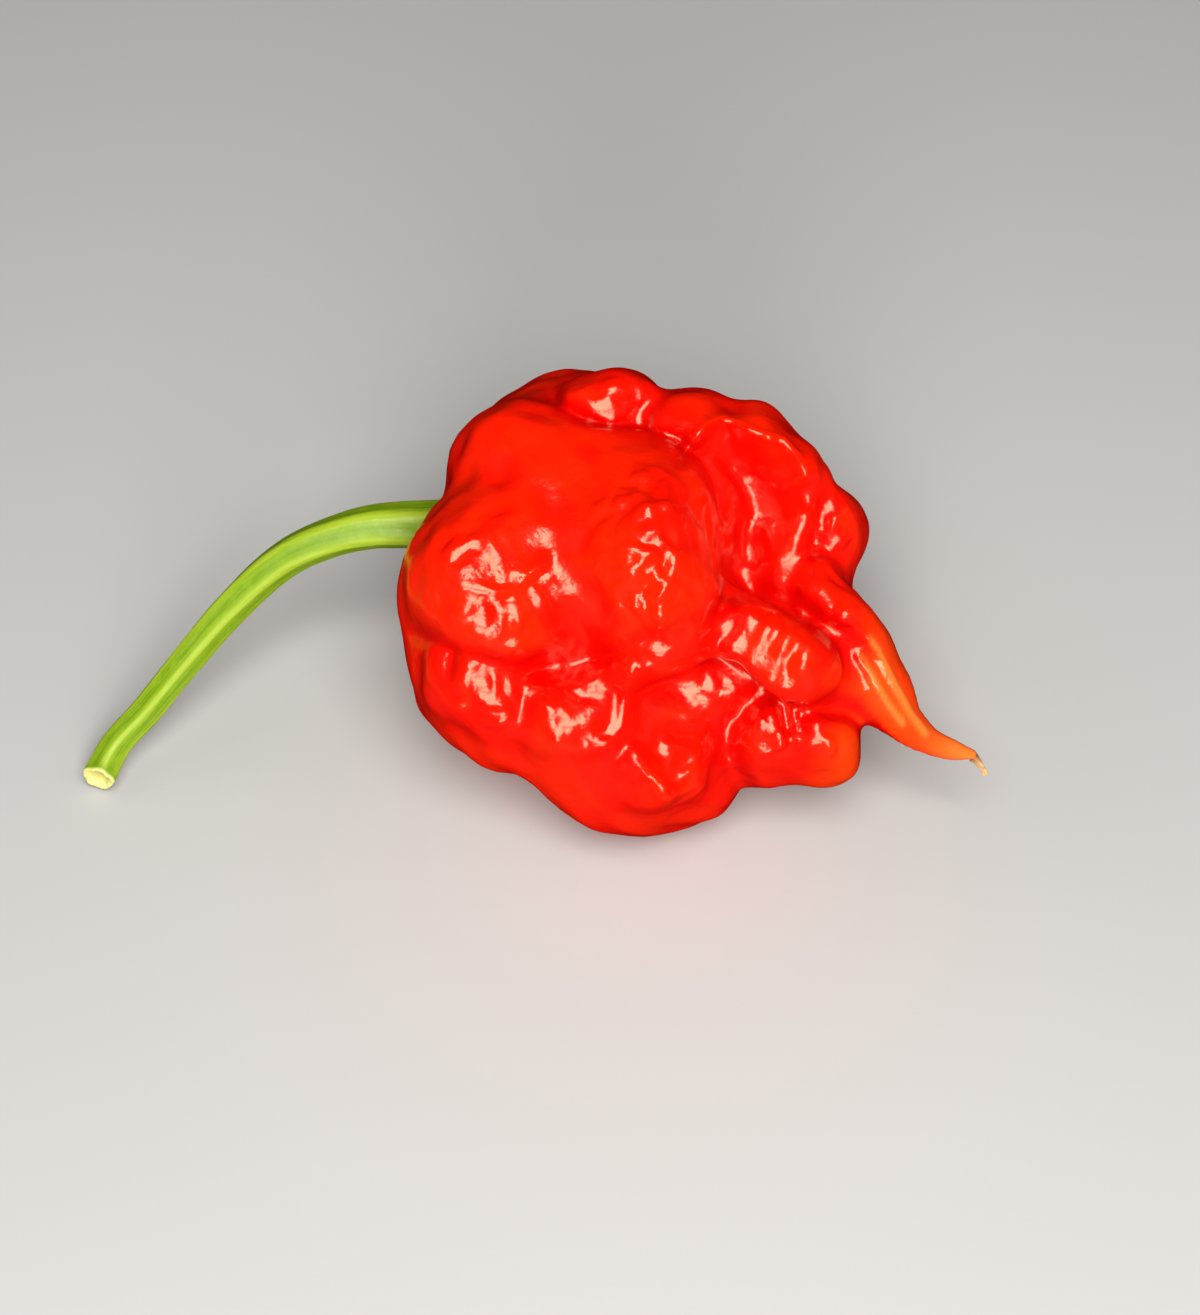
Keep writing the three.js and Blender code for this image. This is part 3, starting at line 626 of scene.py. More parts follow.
    def rungs(self, p: Points) -> Points:
        """Height of the puckers that run across the slanting finger."""
        c, s = math.cos(math.radians(FINGER.turn)), math.sin(math.radians(FINGER.turn))
        offset = p - np.array(FINGER.centre)
        along = offset[:, 0] * c + offset[:, 1] * s
        across = offset[:, 1] * c - offset[:, 0] * s
        on_finger = smoothstep(2.9, 1.9, np.abs(across)) * smoothstep(6.2, 5.0, np.abs(along - 0.6))
        phase = 2.0 * math.pi * along / self.rung_spacing + 0.8 * np.sin(1.1 * across)
        phase += self.rung_wander * self.grain.at(p + 17.3, self.rung_wander_size)
        stretched = np.stack([along, self.rung_stretch * across, self.rung_stretch * offset[:, 2]], axis=1)
        uneven = 0.5 * np.cos(phase) + 1.6 * self.grain.at(stretched + 5.3, self.rung_size)
        return self.rung_height * uneven * on_finger * smoothstep(0.0, 2.0, offset[:, 2])

    def slope(self, p: Points, distance: Callable[[Points], Points]) -> Points:
        """Slope of a distance at points.

        Args:
            p: Points in millimetres, one a row.
            distance: The distance to differentiate.

        Returns:
            One slope a row.
        """
        reach = 0.03  # millimetres to each side
        corners = np.array([[1, -1, -1], [-1, -1, 1], [-1, 1, -1], [1, 1, 1]], float)
        return sum(distance(p + reach * corner)[:, None] * corner for corner in corners) / (4.0 * reach)


# Net over the pod's skin


@dataclass
class SkinNet:
    """Even net of quads over the skin, drawn from a grid of distances."""

    form: PodForm
    low: Place = (-18.8, -19.0, -18.2)
    high: Place = (26.0, 18.6, 16.8)
    step: float = 0.25
    coarse: int = 4

    def grid(self) -> Points:
        """Distances at the grid's nodes, worked out only near the skin.

        Returns:
            The distances, one axis of the grid to each axis of the array.
        """
        wide = self.step * self.coarse
        counts = [int(math.ceil((b - a) / wide)) for a, b in zip(self.low, self.high)]
        middle = 0.5 * (wide - self.step)
        block_axes = [a + middle + wide * np.arange(n) for a, n in zip(self.low, counts)]
        blocks = np.stack(np.meshgrid(*block_axes, indexing="ij"), -1).reshape(-1, 3).astype(np.float32)
        values = self.form.broad(blocks).reshape(counts)
        for axis in range(3):
            values = np.repeat(values, self.coarse, axis=axis)
        axes = [a + self.step * np.arange(n * self.coarse) for a, n in zip(self.low, counts)]
        near = np.argwhere(np.abs(values) < 1.3 * wide)
        points = np.stack([axes[axis][near[:, axis]] for axis in range(3)], 1).astype(np.float32)
        values[tuple(near.T)] = self.form.broad(points)
        return values

    def fill_pinches(self, values: Points) -> None:
        """Fills nodes until the skin crosses every cell as one sheet.

        Args:
            values: Distances at the grid's nodes, changed in place.
        """
        for _ in range(12):
            changed = 0
            for axis_a, axis_b in ((0, 1), (1, 2), (0, 2)):
                square = ((0, 0), (1, 0), (1, 1), (0, 1))
                corners = [self.shifted(values, {axis_a: i, axis_b: j}) for i, j in square]
                within = [corner < 0.0 for corner in corners]
                crossed = (within[0] == within[2]) & (within[1] == within[3]) & (within[0] != within[1])
                for n in (0, 1):
                    out = crossed & ~within[n]
                    corners[n][out] = -0.01 * self.step
                    changed += int(out.sum())
            if changed == 0:
                return

    @staticmethod
    def shifted(values: Points, steps: dict[int, int]) -> Points:
        """View of the grid's nodes moved by a step along some axes, with one node less along each."""
        cut = [slice(None)] * 3
        for axis, step in steps.items():
            cut[axis] = slice(step, values.shape[axis] - 1 + step)
        return values[tuple(cut)]

    def draw(self) -> tuple[Points, Points]:
        """Net over the skin, not yet settled.

        Returns:
            Points in millimetres, and quads of point numbers that face outwards.
        """
        values = self.grid()
        self.fill_pinches(values)
        within = values < 0.0
        everywhere = {0: 0, 1: 0, 2: 0}
        cells = tuple(count - 1 for count in values.shape)
        total = np.zeros(cells + (3,), np.float32)
        count = np.zeros(cells, np.float32)
        for axis in range(3):
            others = [n for n in range(3) if n != axis]
            for i, j in ((0, 0), (0, 1), (1, 0), (1, 1)):
                start = {**everywhere, others[0]: i, others[1]: j}
                a = self.shifted(values, start)
                b = self.shifted(values, {**start, axis: 1})
                crossing = (a < 0.0) != (b < 0.0)
                share = np.clip(a[crossing] / (a[crossing] - b[crossing]), 0.05, 0.95)
                total[..., others[0]][crossing] += i
                total[..., others[1]][crossing] += j
                total[..., axis][crossing] += share
                count[crossing] += 1.0
        used = count > 0.0
        number = np.full(cells, -1)
        number[used] = np.arange(int(used.sum()))
        places = (np.argwhere(used) + total[used] / count[used][:, None]) * self.step + np.array(self.low)

        quads = []
        for axis in range(3):
            side, rise = (axis + 1) % 3, (axis + 2) % 3
            here = self.shifted(within, {axis: 0})
            there = self.shifted(within, {axis: 1})
            nodes = np.argwhere(here != there)
            nodes = nodes[(nodes[:, side] > 0) & (nodes[:, rise] > 0)]
            ring = []
            for a, b in ((0, 0), (-1, 0), (-1, -1), (0, -1)):
                cell = nodes.copy()
                cell[:, side] += a
                cell[:, rise] += b
                ring.append(number[tuple(cell.T)])
            quad = np.stack(ring, axis=1)
            outward = here[tuple(nodes.T)]
            quads.append(np.where(outward[:, None], quad, quad[:, ::-1]))
        return places.astype(float), np.vstack(quads)

    def settle(self, points: Points, quads: Points, rounds: int) -> Points:
        """Draws the net onto the broad skin and spaces it evenly along it.

        Args:
            points: The net's points.
            quads: The net's quads.
            rounds: How many times to even out.

        Returns:
            The settled points.
        """
        edges = np.vstack([quads[:, [n, (n + 1) % 4]] for n in range(4)])
        degree = np.bincount(edges.ravel(), minlength=len(points))
        for _ in range(rounds):
            slope = unit(self.form.slope(points, self.form.broad))
            middle = np.zeros_like(points)
            for axis in range(3):
                middle[:, axis] = np.bincount(edges[:, 0], points[edges[:, 1], axis], len(points))
                middle[:, axis] += np.bincount(edges[:, 1], points[edges[:, 0], axis], len(points))
            pull = middle / degree[:, None] - points
            pull -= slope * np.einsum("ij,ij->i", pull, slope)[:, None]
            points = points + 0.5 * pull
            step = np.clip(self.form.broad(points), -0.2, 0.2)
            points = points - slope * step[:, None]
        return points


# Finishes


class Sheet:
    """Node tree of one material, with short ways to add to it."""

    def __init__(self, name: str) -> None:
        """Starts a material with a Principled shader.

        Args:
            name: Name of the material.
        """
        self.material = bpy.data.materials.new(name)
        self.material.use_nodes = True
        self.tree = self.material.node_tree
        self.shader = self.tree.nodes["Principled BSDF"]

    def add(self, kind: str, settings: dict | None = None, inputs: dict | None = None) -> bpy.types.Node:
        """Adds a node.

        Args:
            kind: Blender's name for the node.
            settings: Attributes to set on it.
            inputs: Value or linked socket for each input.

        Returns:
            The node.
        """
        node = self.tree.nodes.new(kind)
        for name, value in (settings or {}).items():
            setattr(node, name, value)
        for name, value in (inputs or {}).items():
            self.feed(node, name, value)
        return node

    def feed(self, node: bpy.types.Node, name: str | int, value: object) -> None:
        """Sets an input to a value, or links a socket to it."""
        if isinstance(value, bpy.types.NodeSocket):
            self.tree.links.new(value, node.inputs[name])
        else:
            node.inputs[name].default_value = value

    def shade(self, inputs: dict[str, object]) -> None:
        """Feeds the shader's inputs, by name."""
        for name, value in inputs.items():
            self.feed(self.shader, name, value)

    def layer(self, colour: bpy.types.NodeSocket, layers: dict[str, Colour]) -> bpy.types.NodeSocket:
        """Lays colours over a first one in turn, each where its own vertex attribute says.

        Args:
            colour: Socket of the first colour.
            layers: Colour to lay on, for each attribute.

        Returns:
            Socket of the last mixed colour.
        """
        for name, laid in layers.items():
            colour = self.blend(self.attribute(name), colour, laid)
        return colour

    def attribute(self, name: str) -> bpy.types.NodeSocket:
        """Socket of a vertex attribute's value."""
        return self.add("ShaderNodeAttribute", {"attribute_name": name}).outputs["Fac"]

    def noise(self, scale: float, detail: float = 3.0, roughness: float = 0.55) -> bpy.types.NodeSocket:
        """Noise in the piece's own space.

        Args:
            scale: Features in a metre.
            detail: Octaves.
            roughness: Strength of the finer octaves.

        Returns:
            Socket of the noise's value.
        """
        place = self.add("ShaderNodeTexCoord").outputs["Object"]
        inputs = {"Vector": place, "Scale": scale, "Detail": detail, "Roughness": roughness}
        return self.add("ShaderNodeTexNoise", inputs=inputs).outputs["Fac"]

    def ramp(self, value: bpy.types.NodeSocket, low: float, high: float, start: float = 0.0,
             end: float = 1.0) -> bpy.types.NodeSocket:
        """Maps low to start and high to end, with no values past them."""
        node = self.add("ShaderNodeMapRange", {"interpolation_type": "SMOOTHSTEP"}, {
            "Value": value, "From Min": low, "From Max": high, "To Min": start, "To Max": end})
        return node.outputs["Result"]

    def times(self, a: bpy.types.NodeSocket, b: bpy.types.NodeSocket | float) -> bpy.types.NodeSocket:
        """Product of two values."""
        return self.add("ShaderNodeMath", {"operation": "MULTIPLY"}, {0: a, 1: b}).outputs[0]

    def blend(self, share: bpy.types.NodeSocket, a: object, b: object) -> bpy.types.NodeSocket:
        """Colour that turns from a to b as share goes from 0 to 1.

        Args:
            share: Socket of the share.
            a: First colour, or a socket of one.
            b: Second colour, or a socket of one.

        Returns:
            Socket of the mixed colour.
        """
        node = self.add("ShaderNodeMix", {"data_type": "RGBA"})
        self.feed(node, 0, share)
        self.feed(node, 6, (*a, 1.0) if isinstance(a, tuple) else a)
        self.feed(node, 7, (*b, 1.0) if isinstance(b, tuple) else b)
        return node.outputs[2]

    def bump(self, height: bpy.types.NodeSocket, depth: float, strength: float,
             onto: bpy.types.NodeSocket | None = None) -> bpy.types.NodeSocket:
        """Normal raised by a height.

        Args:
            height: Socket of the height, from 0 to 1.
            depth: What a height of 1 stands for, in metres.
            strength: Share of the effect.
            onto: Normal to raise further, if any.

        Returns:
            Socket of the normal.
        """
        inputs = {"Height": height, "Distance": depth, "Strength": strength}
        if onto is not None:
            inputs["Normal"] = onto
        return self.add("ShaderNodeBump", inputs=inputs).outputs["Normal"]


@dataclass(frozen=True)
class RipeSkin:
    """Glossy, thin, waxy skin: red, with painted shade in the hollows, painted light on ridges, a painted
    highlight along the tail's raised lines, and orange on the tail.
    """

    red: Colour = (0.82, 0.004, 0.0002)
    # painted shade: darker red laid in the hollows
    hollow_shade_red: Colour = (0.6, 0.0008, 0.0002)
    # random mottle tone, and painted light laid on ridges
    mottle_and_ridge_light_red: Colour = (0.9, 0.014, 0.0003)
    tail_orange: Colour = (0.9, 0.045, 0.001)
    tip_orange: Colour = (0.92, 0.2, 0.03)
    # painted highlight laid along the tail's raised lines
    line_highlight_orange: Colour = (0.95, 0.24, 0.04)
    gloss: Colour = (1.0, 0.95, 0.68)
    roughness: float = 0.17
    ior: float = 1.52

    def material(self) -> bpy.types.Material:
        """Makes the finish.

        Returns:
            The material.
        """
        sheet = Sheet("ripe_skin")
        mottle = sheet.ramp(sheet.noise(190.0, 4.0), 0.35, 0.7)
        colour = sheet.blend(sheet.times(mottle, 0.35), self.red, self.mottle_and_ridge_light_red)
        # painted light and shade: lighter on ridges, a highlight along the tail's raised lines and darker red
        # in hollows; the tail and tip oranges are the skin's own colour
        colour = sheet.layer(colour, {
            "ridge": self.mottle_and_ridge_light_red, "tail": self.tail_orange, "tip": self.tip_orange,
            "line": self.line_highlight_orange, "hollow": self.hollow_shade_red})
        fine = sheet.bump(sheet.noise(2400.0, 3.0), 0.00001, 0.7)
        sheet.shade({
            "Base Color": colour,
            "Roughness": sheet.ramp(sheet.noise(420.0, 3.0), 0.3, 0.7, self.roughness, self.roughness + 0.08),
            "Normal": sheet.bump(sheet.noise(1050.0, 2.0), 0.0001, 0.8, fine),
            "IOR": self.ior,
            "Subsurface Weight": 0.12,
            "Subsurface Scale": 0.0008,
            "Subsurface Radius": (1.0, 0.25, 0.1),
            "Specular Tint": (*self.gloss, 1.0)})
        return sheet.material


@dataclass(frozen=True)
class GreenStalk:
    """Satin stem skin with painted light on its ridges and painted shade in its grooves, fine fibres, and a
    pale cut end.
    """

    green: Colour = (0.2, 0.35, 0.003)
    # lighter green for random flecks, and painted light laid on the ridges
    ridge_green: Colour = (0.31, 0.45, 0.018)
    # painted shade: darker green laid in the grooves
    groove_shade_green: Colour = (0.16, 0.3, 0.002)
    cut_rim: Colour = (0.8, 0.78, 0.3)
    cut_floor: Colour = (0.56, 0.5, 0.13)

    def material(self) -> bpy.types.Material:
        """Makes the finish.

        Returns:
            The material.
        """
        sheet = Sheet("green_stalk")
        ridge = sheet.attribute("ridge")
        # painted shade in the grooves and painted light on the ridges, following the stem's ribs
        colour = sheet.blend(sheet.ramp(ridge, 0.0, 0.45), self.groove_shade_green, self.green)
        colour = sheet.blend(sheet.ramp(ridge, 0.5, 1.0), colour, self.ridge_green)
        flecks = sheet.times(sheet.ramp(sheet.noise(900.0, 4.0), 0.45, 0.75), 0.3)
        colour = sheet.blend(flecks, colour, self.ridge_green)
        colour = sheet.layer(colour, {"cut": self.cut_rim, "pit": self.cut_floor})
        sheet.shade({
            "Base Color": colour,
            "Roughness": sheet.ramp(sheet.noise(500.0), 0.3, 0.7, 0.42, 0.58),
            "Normal": sheet.bump(sheet.noise(1400.0, 4.0), 0.00008, 0.6),
            "Subsurface Weight": 0.15,
            "Subsurface Scale": 0.0006,
            "Subsurface Radius": (0.6, 1.0, 0.15)})
        return sheet.material


@dataclass(frozen=True)
class DryStyleFinish:
    """Dry straw-coloured remnant, browner where it joins the tail."""

    straw: Colour = (0.62, 0.43, 0.2)
    brown: Colour = (0.36, 0.17, 0.06)

    def material(self) -> bpy.types.Material:
        """Makes the finish.

        Returns:
            The material.
        """
        sheet = Sheet("dry_style")
        streaks = sheet.ramp(sheet.noise(2600.0, 4.0), 0.35, 0.7)
        colour = sheet.blend(sheet.times(streaks, 0.6), self.straw, self.brown)
        sheet.shade({
            "Base Color": sheet.layer(colour, {"root": self.brown}),
            "Roughness": 0.8,
            "Normal": sheet.bump(sheet.noise(4000.0, 3.0), 0.00005, 0.7)})
        return sheet.material


@dataclass(frozen=True)
class PaleFloor:
    """Plain pale studio floor."""

    pale: Colour = (0.47, 0.49, 0.52)

    def material(self) -> bpy.types.Material:
        """Makes the finish.

        Returns:
            The material.
        """
        sheet = Sheet("pale_floor")
        sheet.shade({"Base Color": (*self.pale, 1.0), "Roughness": 0.7, "Specular IOR Level": 0.2})
        return sheet.material


# Pieces


@dataclass
class Pod:
    """The ripe fruit: its fine skin over the form of its lobes."""

    form: PodForm = field(default_factory=PodForm)
    finish: RipeSkin = field(default_factory=RipeSkin)
    # reaches of the probes that place the painted shade in hollows and the painted light on ridges
    hollow_reach: float = 2.6
    ridge_reach: float = 1.1

    def build(self) -> bpy.types.Object:
        """Makes the pod and stands it for its solid.

        Returns:
            The pod's object.
        """
        net = SkinNet(self.form)
        points, quads = net.draw()
        points = net.settle(points, quads, 3)
        normal = unit(self.form.slope(points, self.form.broad))
        attributes = self.marks(points, normal)
        points = points + normal * self.form.relief(points, normal)[:, None]
        lift = np.maximum(-LIE.height(points), 0.0)
        points[:, 1] += lift * math.sin(LIE.face_lean)
        points[:, 2] += lift * math.cos(LIE.face_lean)
        pod = mesh_object("pod_skin", points, quads.tolist(), attributes)
        pod.data.materials.append(self.finish.material())
        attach(pod, "root")
        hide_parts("pod")
        return pod

    def marks(self, points: Points, normal: Points) -> dict[str, Points]:
        """Where the skin is hollow (painted shade), ridged (painted light), tail, tail's tip or raised line
        (painted highlight), from 0 to 1.

        Args:
            points: The net's points.
            normal: The skin's direction at each.

        Returns:
            The value at each point, for each attribute of the finish.
        """
        # openness round each point: low in hollows, where shade is painted
        clear = self.form.broad(points + self.hollow_reach * normal) / self.hollow_reach
        # high on ridges, where light is painted
        above = self.form.broad(points + self.ridge_reach * normal) / self.ridge_reach
        tail = smoothstep(13.6, 17.4, points[:, 0] - 0.35 * points[:, 1] - 2.0)
        line = sum(ridge.depth_at(points) / ridge.depth for ridge in TAIL_RIDGES)
        return {
            # painted shade in the hollows
            "hollow": 1.0 - smoothstep(0.3, 0.98, clear),
            # painted light on the ridges
            "ridge": 0.7 * smoothstep(0.9, 1.06, above) * smoothstep(0.8, 1.0, clear),
            "tail": tail,
            "tip": 0.9 * smoothstep(19.5, 24.3, points[:, 0]),
            # painted highlight along the tail's raised lines
            "line": 0.65 * np.clip(line, 0.0, 1.0),
        }


def closed_loft(rings: Points, first: Points, last: Points) -> tuple[Points, Faces]:
    """Closed skin through rings of points.

    Args:
        rings: Rings, then points on a ring, then axes.
        first: Point that shuts the first ring.
        last: Point that shuts the last ring.

    Returns:
        The points, and faces that look outwards.
    """
    ring_count, around = rings.shape[:2]
    points = np.vstack([first[None], rings.reshape(-1, 3), last[None]])
    numbers = 1 + np.arange(ring_count * around).reshape(ring_count, around)
    turned = np.roll(numbers, -1, axis=1)
    sides = np.stack([numbers[:-1], turned[:-1], turned[1:], numbers[1:]], axis=-1).reshape(-1, 4)
    faces = sides.tolist()
    faces += [[0, int(b), int(a)] for a, b in zip(numbers[0], turned[0])]
    faces += [[len(points) - 1, int(a), int(b)] for a, b in zip(numbers[-1], turned[-1])]
    return points, faces


def frames_along(places: Points, first_side: Points) -> tuple[Points, Points, Points]:
    """Axes along a line of places that turn as little as they can.

    Args:
        places: Places, one a row.
        first_side: Side axis wanted at the first place.

    Returns:
        Direction, side axis and rise axis at each place.
    """
    along = unit(np.gradient(places, axis=0))
    sides = []
    side = first_side
    for direction in along:
        side = unit(side - direction * (side @ direction))
        sides.append(side)
    sides = np.array(sides)
    return along, sides, np.cross(along, sides)


def spokes_round(angles: Points, sides: Points, rises: Points) -> Points:
    """Directions out from a line at the given angles, for each place along it."""
    return np.cos(angles)[None, :, None] * sides[:, None] + np.sin(angles)[None, :, None] * rises[:, None]


@dataclass
class Stalk:
    """Green stalk with its cap in the pod's hollow and a pale cut end."""

    form: PodForm
    finish: GreenStalk = field(default_factory=GreenStalk)
    around: int = 120
    steps: int = 300
    ridges: int = 5
    ridge_height: float = 0.055
    fibre_height: float = 0.035
    fibre_size: float = 0.5
    fibre_girth: float = 3.0
    fibre_length: float = 6.0
    twist: float = math.radians(50.0)
    cap_radius: float = 2.1
    cap_tooth: float = 0.6
    cap_teeth: int = 5
    cap_thickness: float = 0.8
    cap_gap: float = 0.2
    cap_foot: Place = (-18.5, 5.45, -3.6)
    cap_axis: Place = (-1.0, 0.0, 0.04)
    cut_rim: float = 0.3
    cut_ease: float = 0.5
    cut_depth: float = 0.7
    torn_height: float = 0.09
    torn_size: float = 0.9
    cut_facing: Place = (-0.3, -0.78, 0.54)
    line: tuple[Place, ...] = (
        (-15.1, 5.48, -3.4), (-19.05, 5.33, -3.2), (-22.7, 4.33, -3.5), (-25.65, 2.82, -4.1),
        (-29.4, -0.55, -5.2), (-32.85, -4.5, -6.2), (-35.65, -7.9, -7.0), (-37.9, -10.4, -7.3),
        (-39.25, -13.0, -6.9))
    radii: tuple[float, ...] = (1.85, 1.68, 1.46, 1.34, 1.28, 1.18, 1.1, 1.07, 1.17)
    grain: GradientNoise = field(default_factory=lambda: GradientNoise(23))

    def build(self) -> bpy.types.Object:
        """Makes the stalk and stands it for its solid.

        Returns:
            The stalk's object.
        """
        angles = np.linspace(0.0, 2.0 * math.pi, self.around, endpoint=False)
        axis = unit(np.array(self.cap_axis))
        side = unit(np.array([0.0, 1.0, 0.0]) - axis * axis[1])
        rise = np.cross(axis, side)
        first, cap = self.cap_rings(angles, axis, side, rise)
        start = first + 1.9 * axis
        places = SmoothLine((tuple(start), *self.line)).by_length(self.steps + 1)
        stem, ridge = self.stem_rings(angles, places, side)
        stem = self.short_of_cut(stem, places)
        cut, last = self.cut_rings(stem[-1], places)
        rings = np.concatenate([cap, stem[:-1], cut])
        points, faces = closed_loft(rings, first, last)

        marks = np.zeros((len(rings), self.around))
        marks[:len(cap)] = 0.45
        marks[len(cap):len(cap) + len(ridge) - 1] = ridge[:-1]
        is_cut = np.zeros(len(rings))
        is_cut[-len(cut) + 1:] = 1.0
        is_pit = np.zeros(len(rings))
        is_pit[-len(cut) + 4:] = np.linspace(0.4, 1.0, len(cut) - 4)
        attributes = {
            "ridge": np.concatenate([[0.4], marks.ravel(), [0.4]]),
            "cut": np.concatenate([[0.0], np.repeat(is_cut, self.around), [1.0]]),
            "pit": np.concatenate([[0.0], np.repeat(is_pit, self.around), [1.0]]),
        }
        stalk = mesh_object("stalk_skin", points, faces, attributes)
        stalk.data.materials.append(self.finish.material())
        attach(stalk, "root")
        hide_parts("stalk")
        return stalk

    def rest_on_pod(self, start: Points, direction: Points, height: float) -> Points:
        """First points along rays into the pod that are a given height over its skin.

        Args:
            start: Where the rays start, one a row.
            direction: The rays' shared direction.
            height: Height over the skin in millimetres.

        Returns:
            The points, one a row.
        """
        points = start.copy()
        for _ in range(60):
            above = self.form.broad(points) - height
            points += direction * np.clip(above * 0.6, 0.0, 0.4)[:, None]
        return points

    def cap_rings(self, angles: Points, axis: Points, side: Points, rise: Points) -> tuple[Points, Points]:
        """Rings of the cap, from the middle of its underside over its toothed rim to the stalk's foot.

        Args:
            angles: Angles of the points on a ring.
            axis: The cap's axis, out of the pod.
            side: Side axis.
            rise: Rise axis.

        Returns:
            The point in the middle of the underside, and the rings.
        """
        foot = np.array(self.cap_foot)
        spokes = np.cos(angles)[:, None] * side + np.sin(angles)[:, None] * rise
        tooth = 0.5 - 0.5 * np.cos(self.cap_teeth * angles)
        top = self.cap_gap + self.cap_thickness
        stations = [(share, self.cap_gap) for share in (0.3, 0.5, 0.7, 0.85, 0.95)]
        stations += [(1.0, self.cap_gap + 0.1), (1.02, self.cap_gap + 0.3), (1.0, self.cap_gap + 0.5)]
        stations += [(0.97, top - 0.1), (0.92, top)]
        rings = []
        for share, height in stations:
            radius = share * (self.cap_radius + self.cap_tooth * tooth * share ** 3)
            rings.append(self.rest_on_pod(foot + radius[:, None] * spokes, -axis, height))
        first = self.rest_on_pod(foot[None], -axis, self.cap_gap)[0]
        return first, np.array(rings)

    def stem_rings(self, angles: Points, places: Points, side: Points) -> tuple[Points, Points]:
        """Rings of the ridged stem.

        Args:
            angles: Angles of the points on a ring.
            places: Middle line of the stem.
            side: Side axis at its foot.

        Returns:
            The rings, and how far each point is up a ridge, from 0 to 1.
        """
        shares = np.linspace(0.0, 1.0, len(places))
        _, sides, rises = frames_along(places, side)
        radii = np.interp(shares, np.linspace(0.0, 1.0, len(self.radii)), self.radii)
        turned = angles[None, :] - self.twist * shares[:, None]
        ridge = np.cos(self.ridges * turned)
        spokes = spokes_round(angles, sides, rises)
        lengthwise = np.broadcast_to(self.fibre_length * shares[:, None], turned.shape)
        round_it = self.fibre_girth * np.cos(turned), self.fibre_girth * np.sin(turned)
        fibre_place = np.stack([*round_it, lengthwise], axis=-1)
        fibre = self.grain.at(fibre_place.reshape(-1, 3), self.fibre_size).reshape(turned.shape)
        radius = radii[:, None] * (1.0 + self.ridge_height * ridge) + self.fibre_height * fibre
        return places[:, None] + radius[..., None] * spokes, 0.5 + 0.5 * ridge

    def short_of_cut(self, stem: Points, places: Points) -> Points:
        """Rings of the stem, drawn back where they would pass the slanting cut.

        Args:
            stem: Rings of the stem.
            places: Middle line of the stem.

        Returns:
            The rings.
        """
        along = unit(places[-1] - places[-4])
        facing = unit(np.array(self.cut_facing))
        past = (stem - places[-1]) @ facing / (facing @ along)
        room = self.cut_ease
        near_cut = -2.0 * room + room * (1.0 - np.exp(-(past / room + 2.0)))
        eased = np.where(past > -2.0 * room, near_cut, past)
        return stem + (eased - past)[..., None] * along

    def cut_rings(self, ring: Points, places: Points) -> tuple[Points, Points]:
        """Rings of the cut end: slanting rim, rounded lip and shallow torn hollow.

        Args:
            ring: Last ring of the stem.
            places: Middle line of the stem.

        Returns:
            The rings, and the point in the middle of the hollow.
        """
        middle = places[-1]
        along = unit(places[-1] - places[-4])
        facing = unit(np.array(self.cut_facing))
        lift = (ring - middle) @ facing / (facing @ along)
        rim = ring - lift[:, None] * along
        spoke = unit(rim - middle)
        torn = self.torn_height * self.grain.at(rim * 2.0, self.torn_size)[:, None] * along
        rings = [rim - 0.25 * along, rim + torn - 0.02 * spoke, rim + torn - 0.6 * self.cut_rim * spoke]
        rings.append(rim + 0.5 * torn - self.cut_rim * spoke - 0.12 * along)
        for share, depth in ((1.35, 0.5), (2.0, 0.85), (3.0, 1.0)):
            rings.append(rim - self.cut_rim * share * spoke - self.cut_depth * depth * along)
        return np.array(rings), middle - 0.9 * self.cut_depth * along


@dataclass
class DryStyle:
    """Dry remnant of the style on the tip of the tail."""

    finish: DryStyleFinish = field(default_factory=DryStyleFinish)
    line: tuple[Place, ...] = (
        (24.26, -11.2, 0.29), (24.72, -11.7, 0.16), (24.96, -12.04, 0.06), (25.15, -12.45, 0.02))
    radii: tuple[float, ...] = (0.34, 0.27, 0.22, 0.18, 0.2)
    around: int = 24
    steps: int = 28
    shrivel: float = 0.22
    wrinkle_height: float = 0.06
    wrinkle_size: float = 0.35
    grain: GradientNoise = field(default_factory=lambda: GradientNoise(5))

    def build(self) -> bpy.types.Object:
        """Makes the remnant and stands it for its solid.

        Returns:
            The remnant's object.
        """
        angles = np.linspace(0.0, 2.0 * math.pi, self.around, endpoint=False)
        places = SmoothLine(self.line).by_length(self.steps + 1)
        _, sides, rises = frames_along(places, np.array([0.0, 0.0, 1.0]))
        shares = np.linspace(0.0, 1.0, self.steps + 1)
        radii = np.interp(shares, np.linspace(0.0, 1.0, len(self.radii)), self.radii)
        spokes = spokes_round(angles, sides, rises)
        shrunk = 1.0 + self.shrivel * np.cos(3.0 * angles[None, :] + 2.0 * shares[:, None])
        rings = places[:, None] + (radii[:, None] * shrunk)[..., None] * spokes
        wrinkle = self.grain.at(rings.reshape(-1, 3), self.wrinkle_size).reshape(*rings.shape[:2], 1)
        rings += self.wrinkle_height * wrinkle * spokes
        points, faces = closed_loft(rings, places[0], places[-1])
        root = np.repeat(1.0 - smoothstep(0.0, 0.45, shares), self.around)
        style = mesh_object("dry_style", points, faces, {"root": np.concatenate([[1.0], root, [0.0]])})
        style.data.materials.append(self.finish.material())
        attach(style, "root")
        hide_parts("style_tip")
        return style


# Floor, light and camera


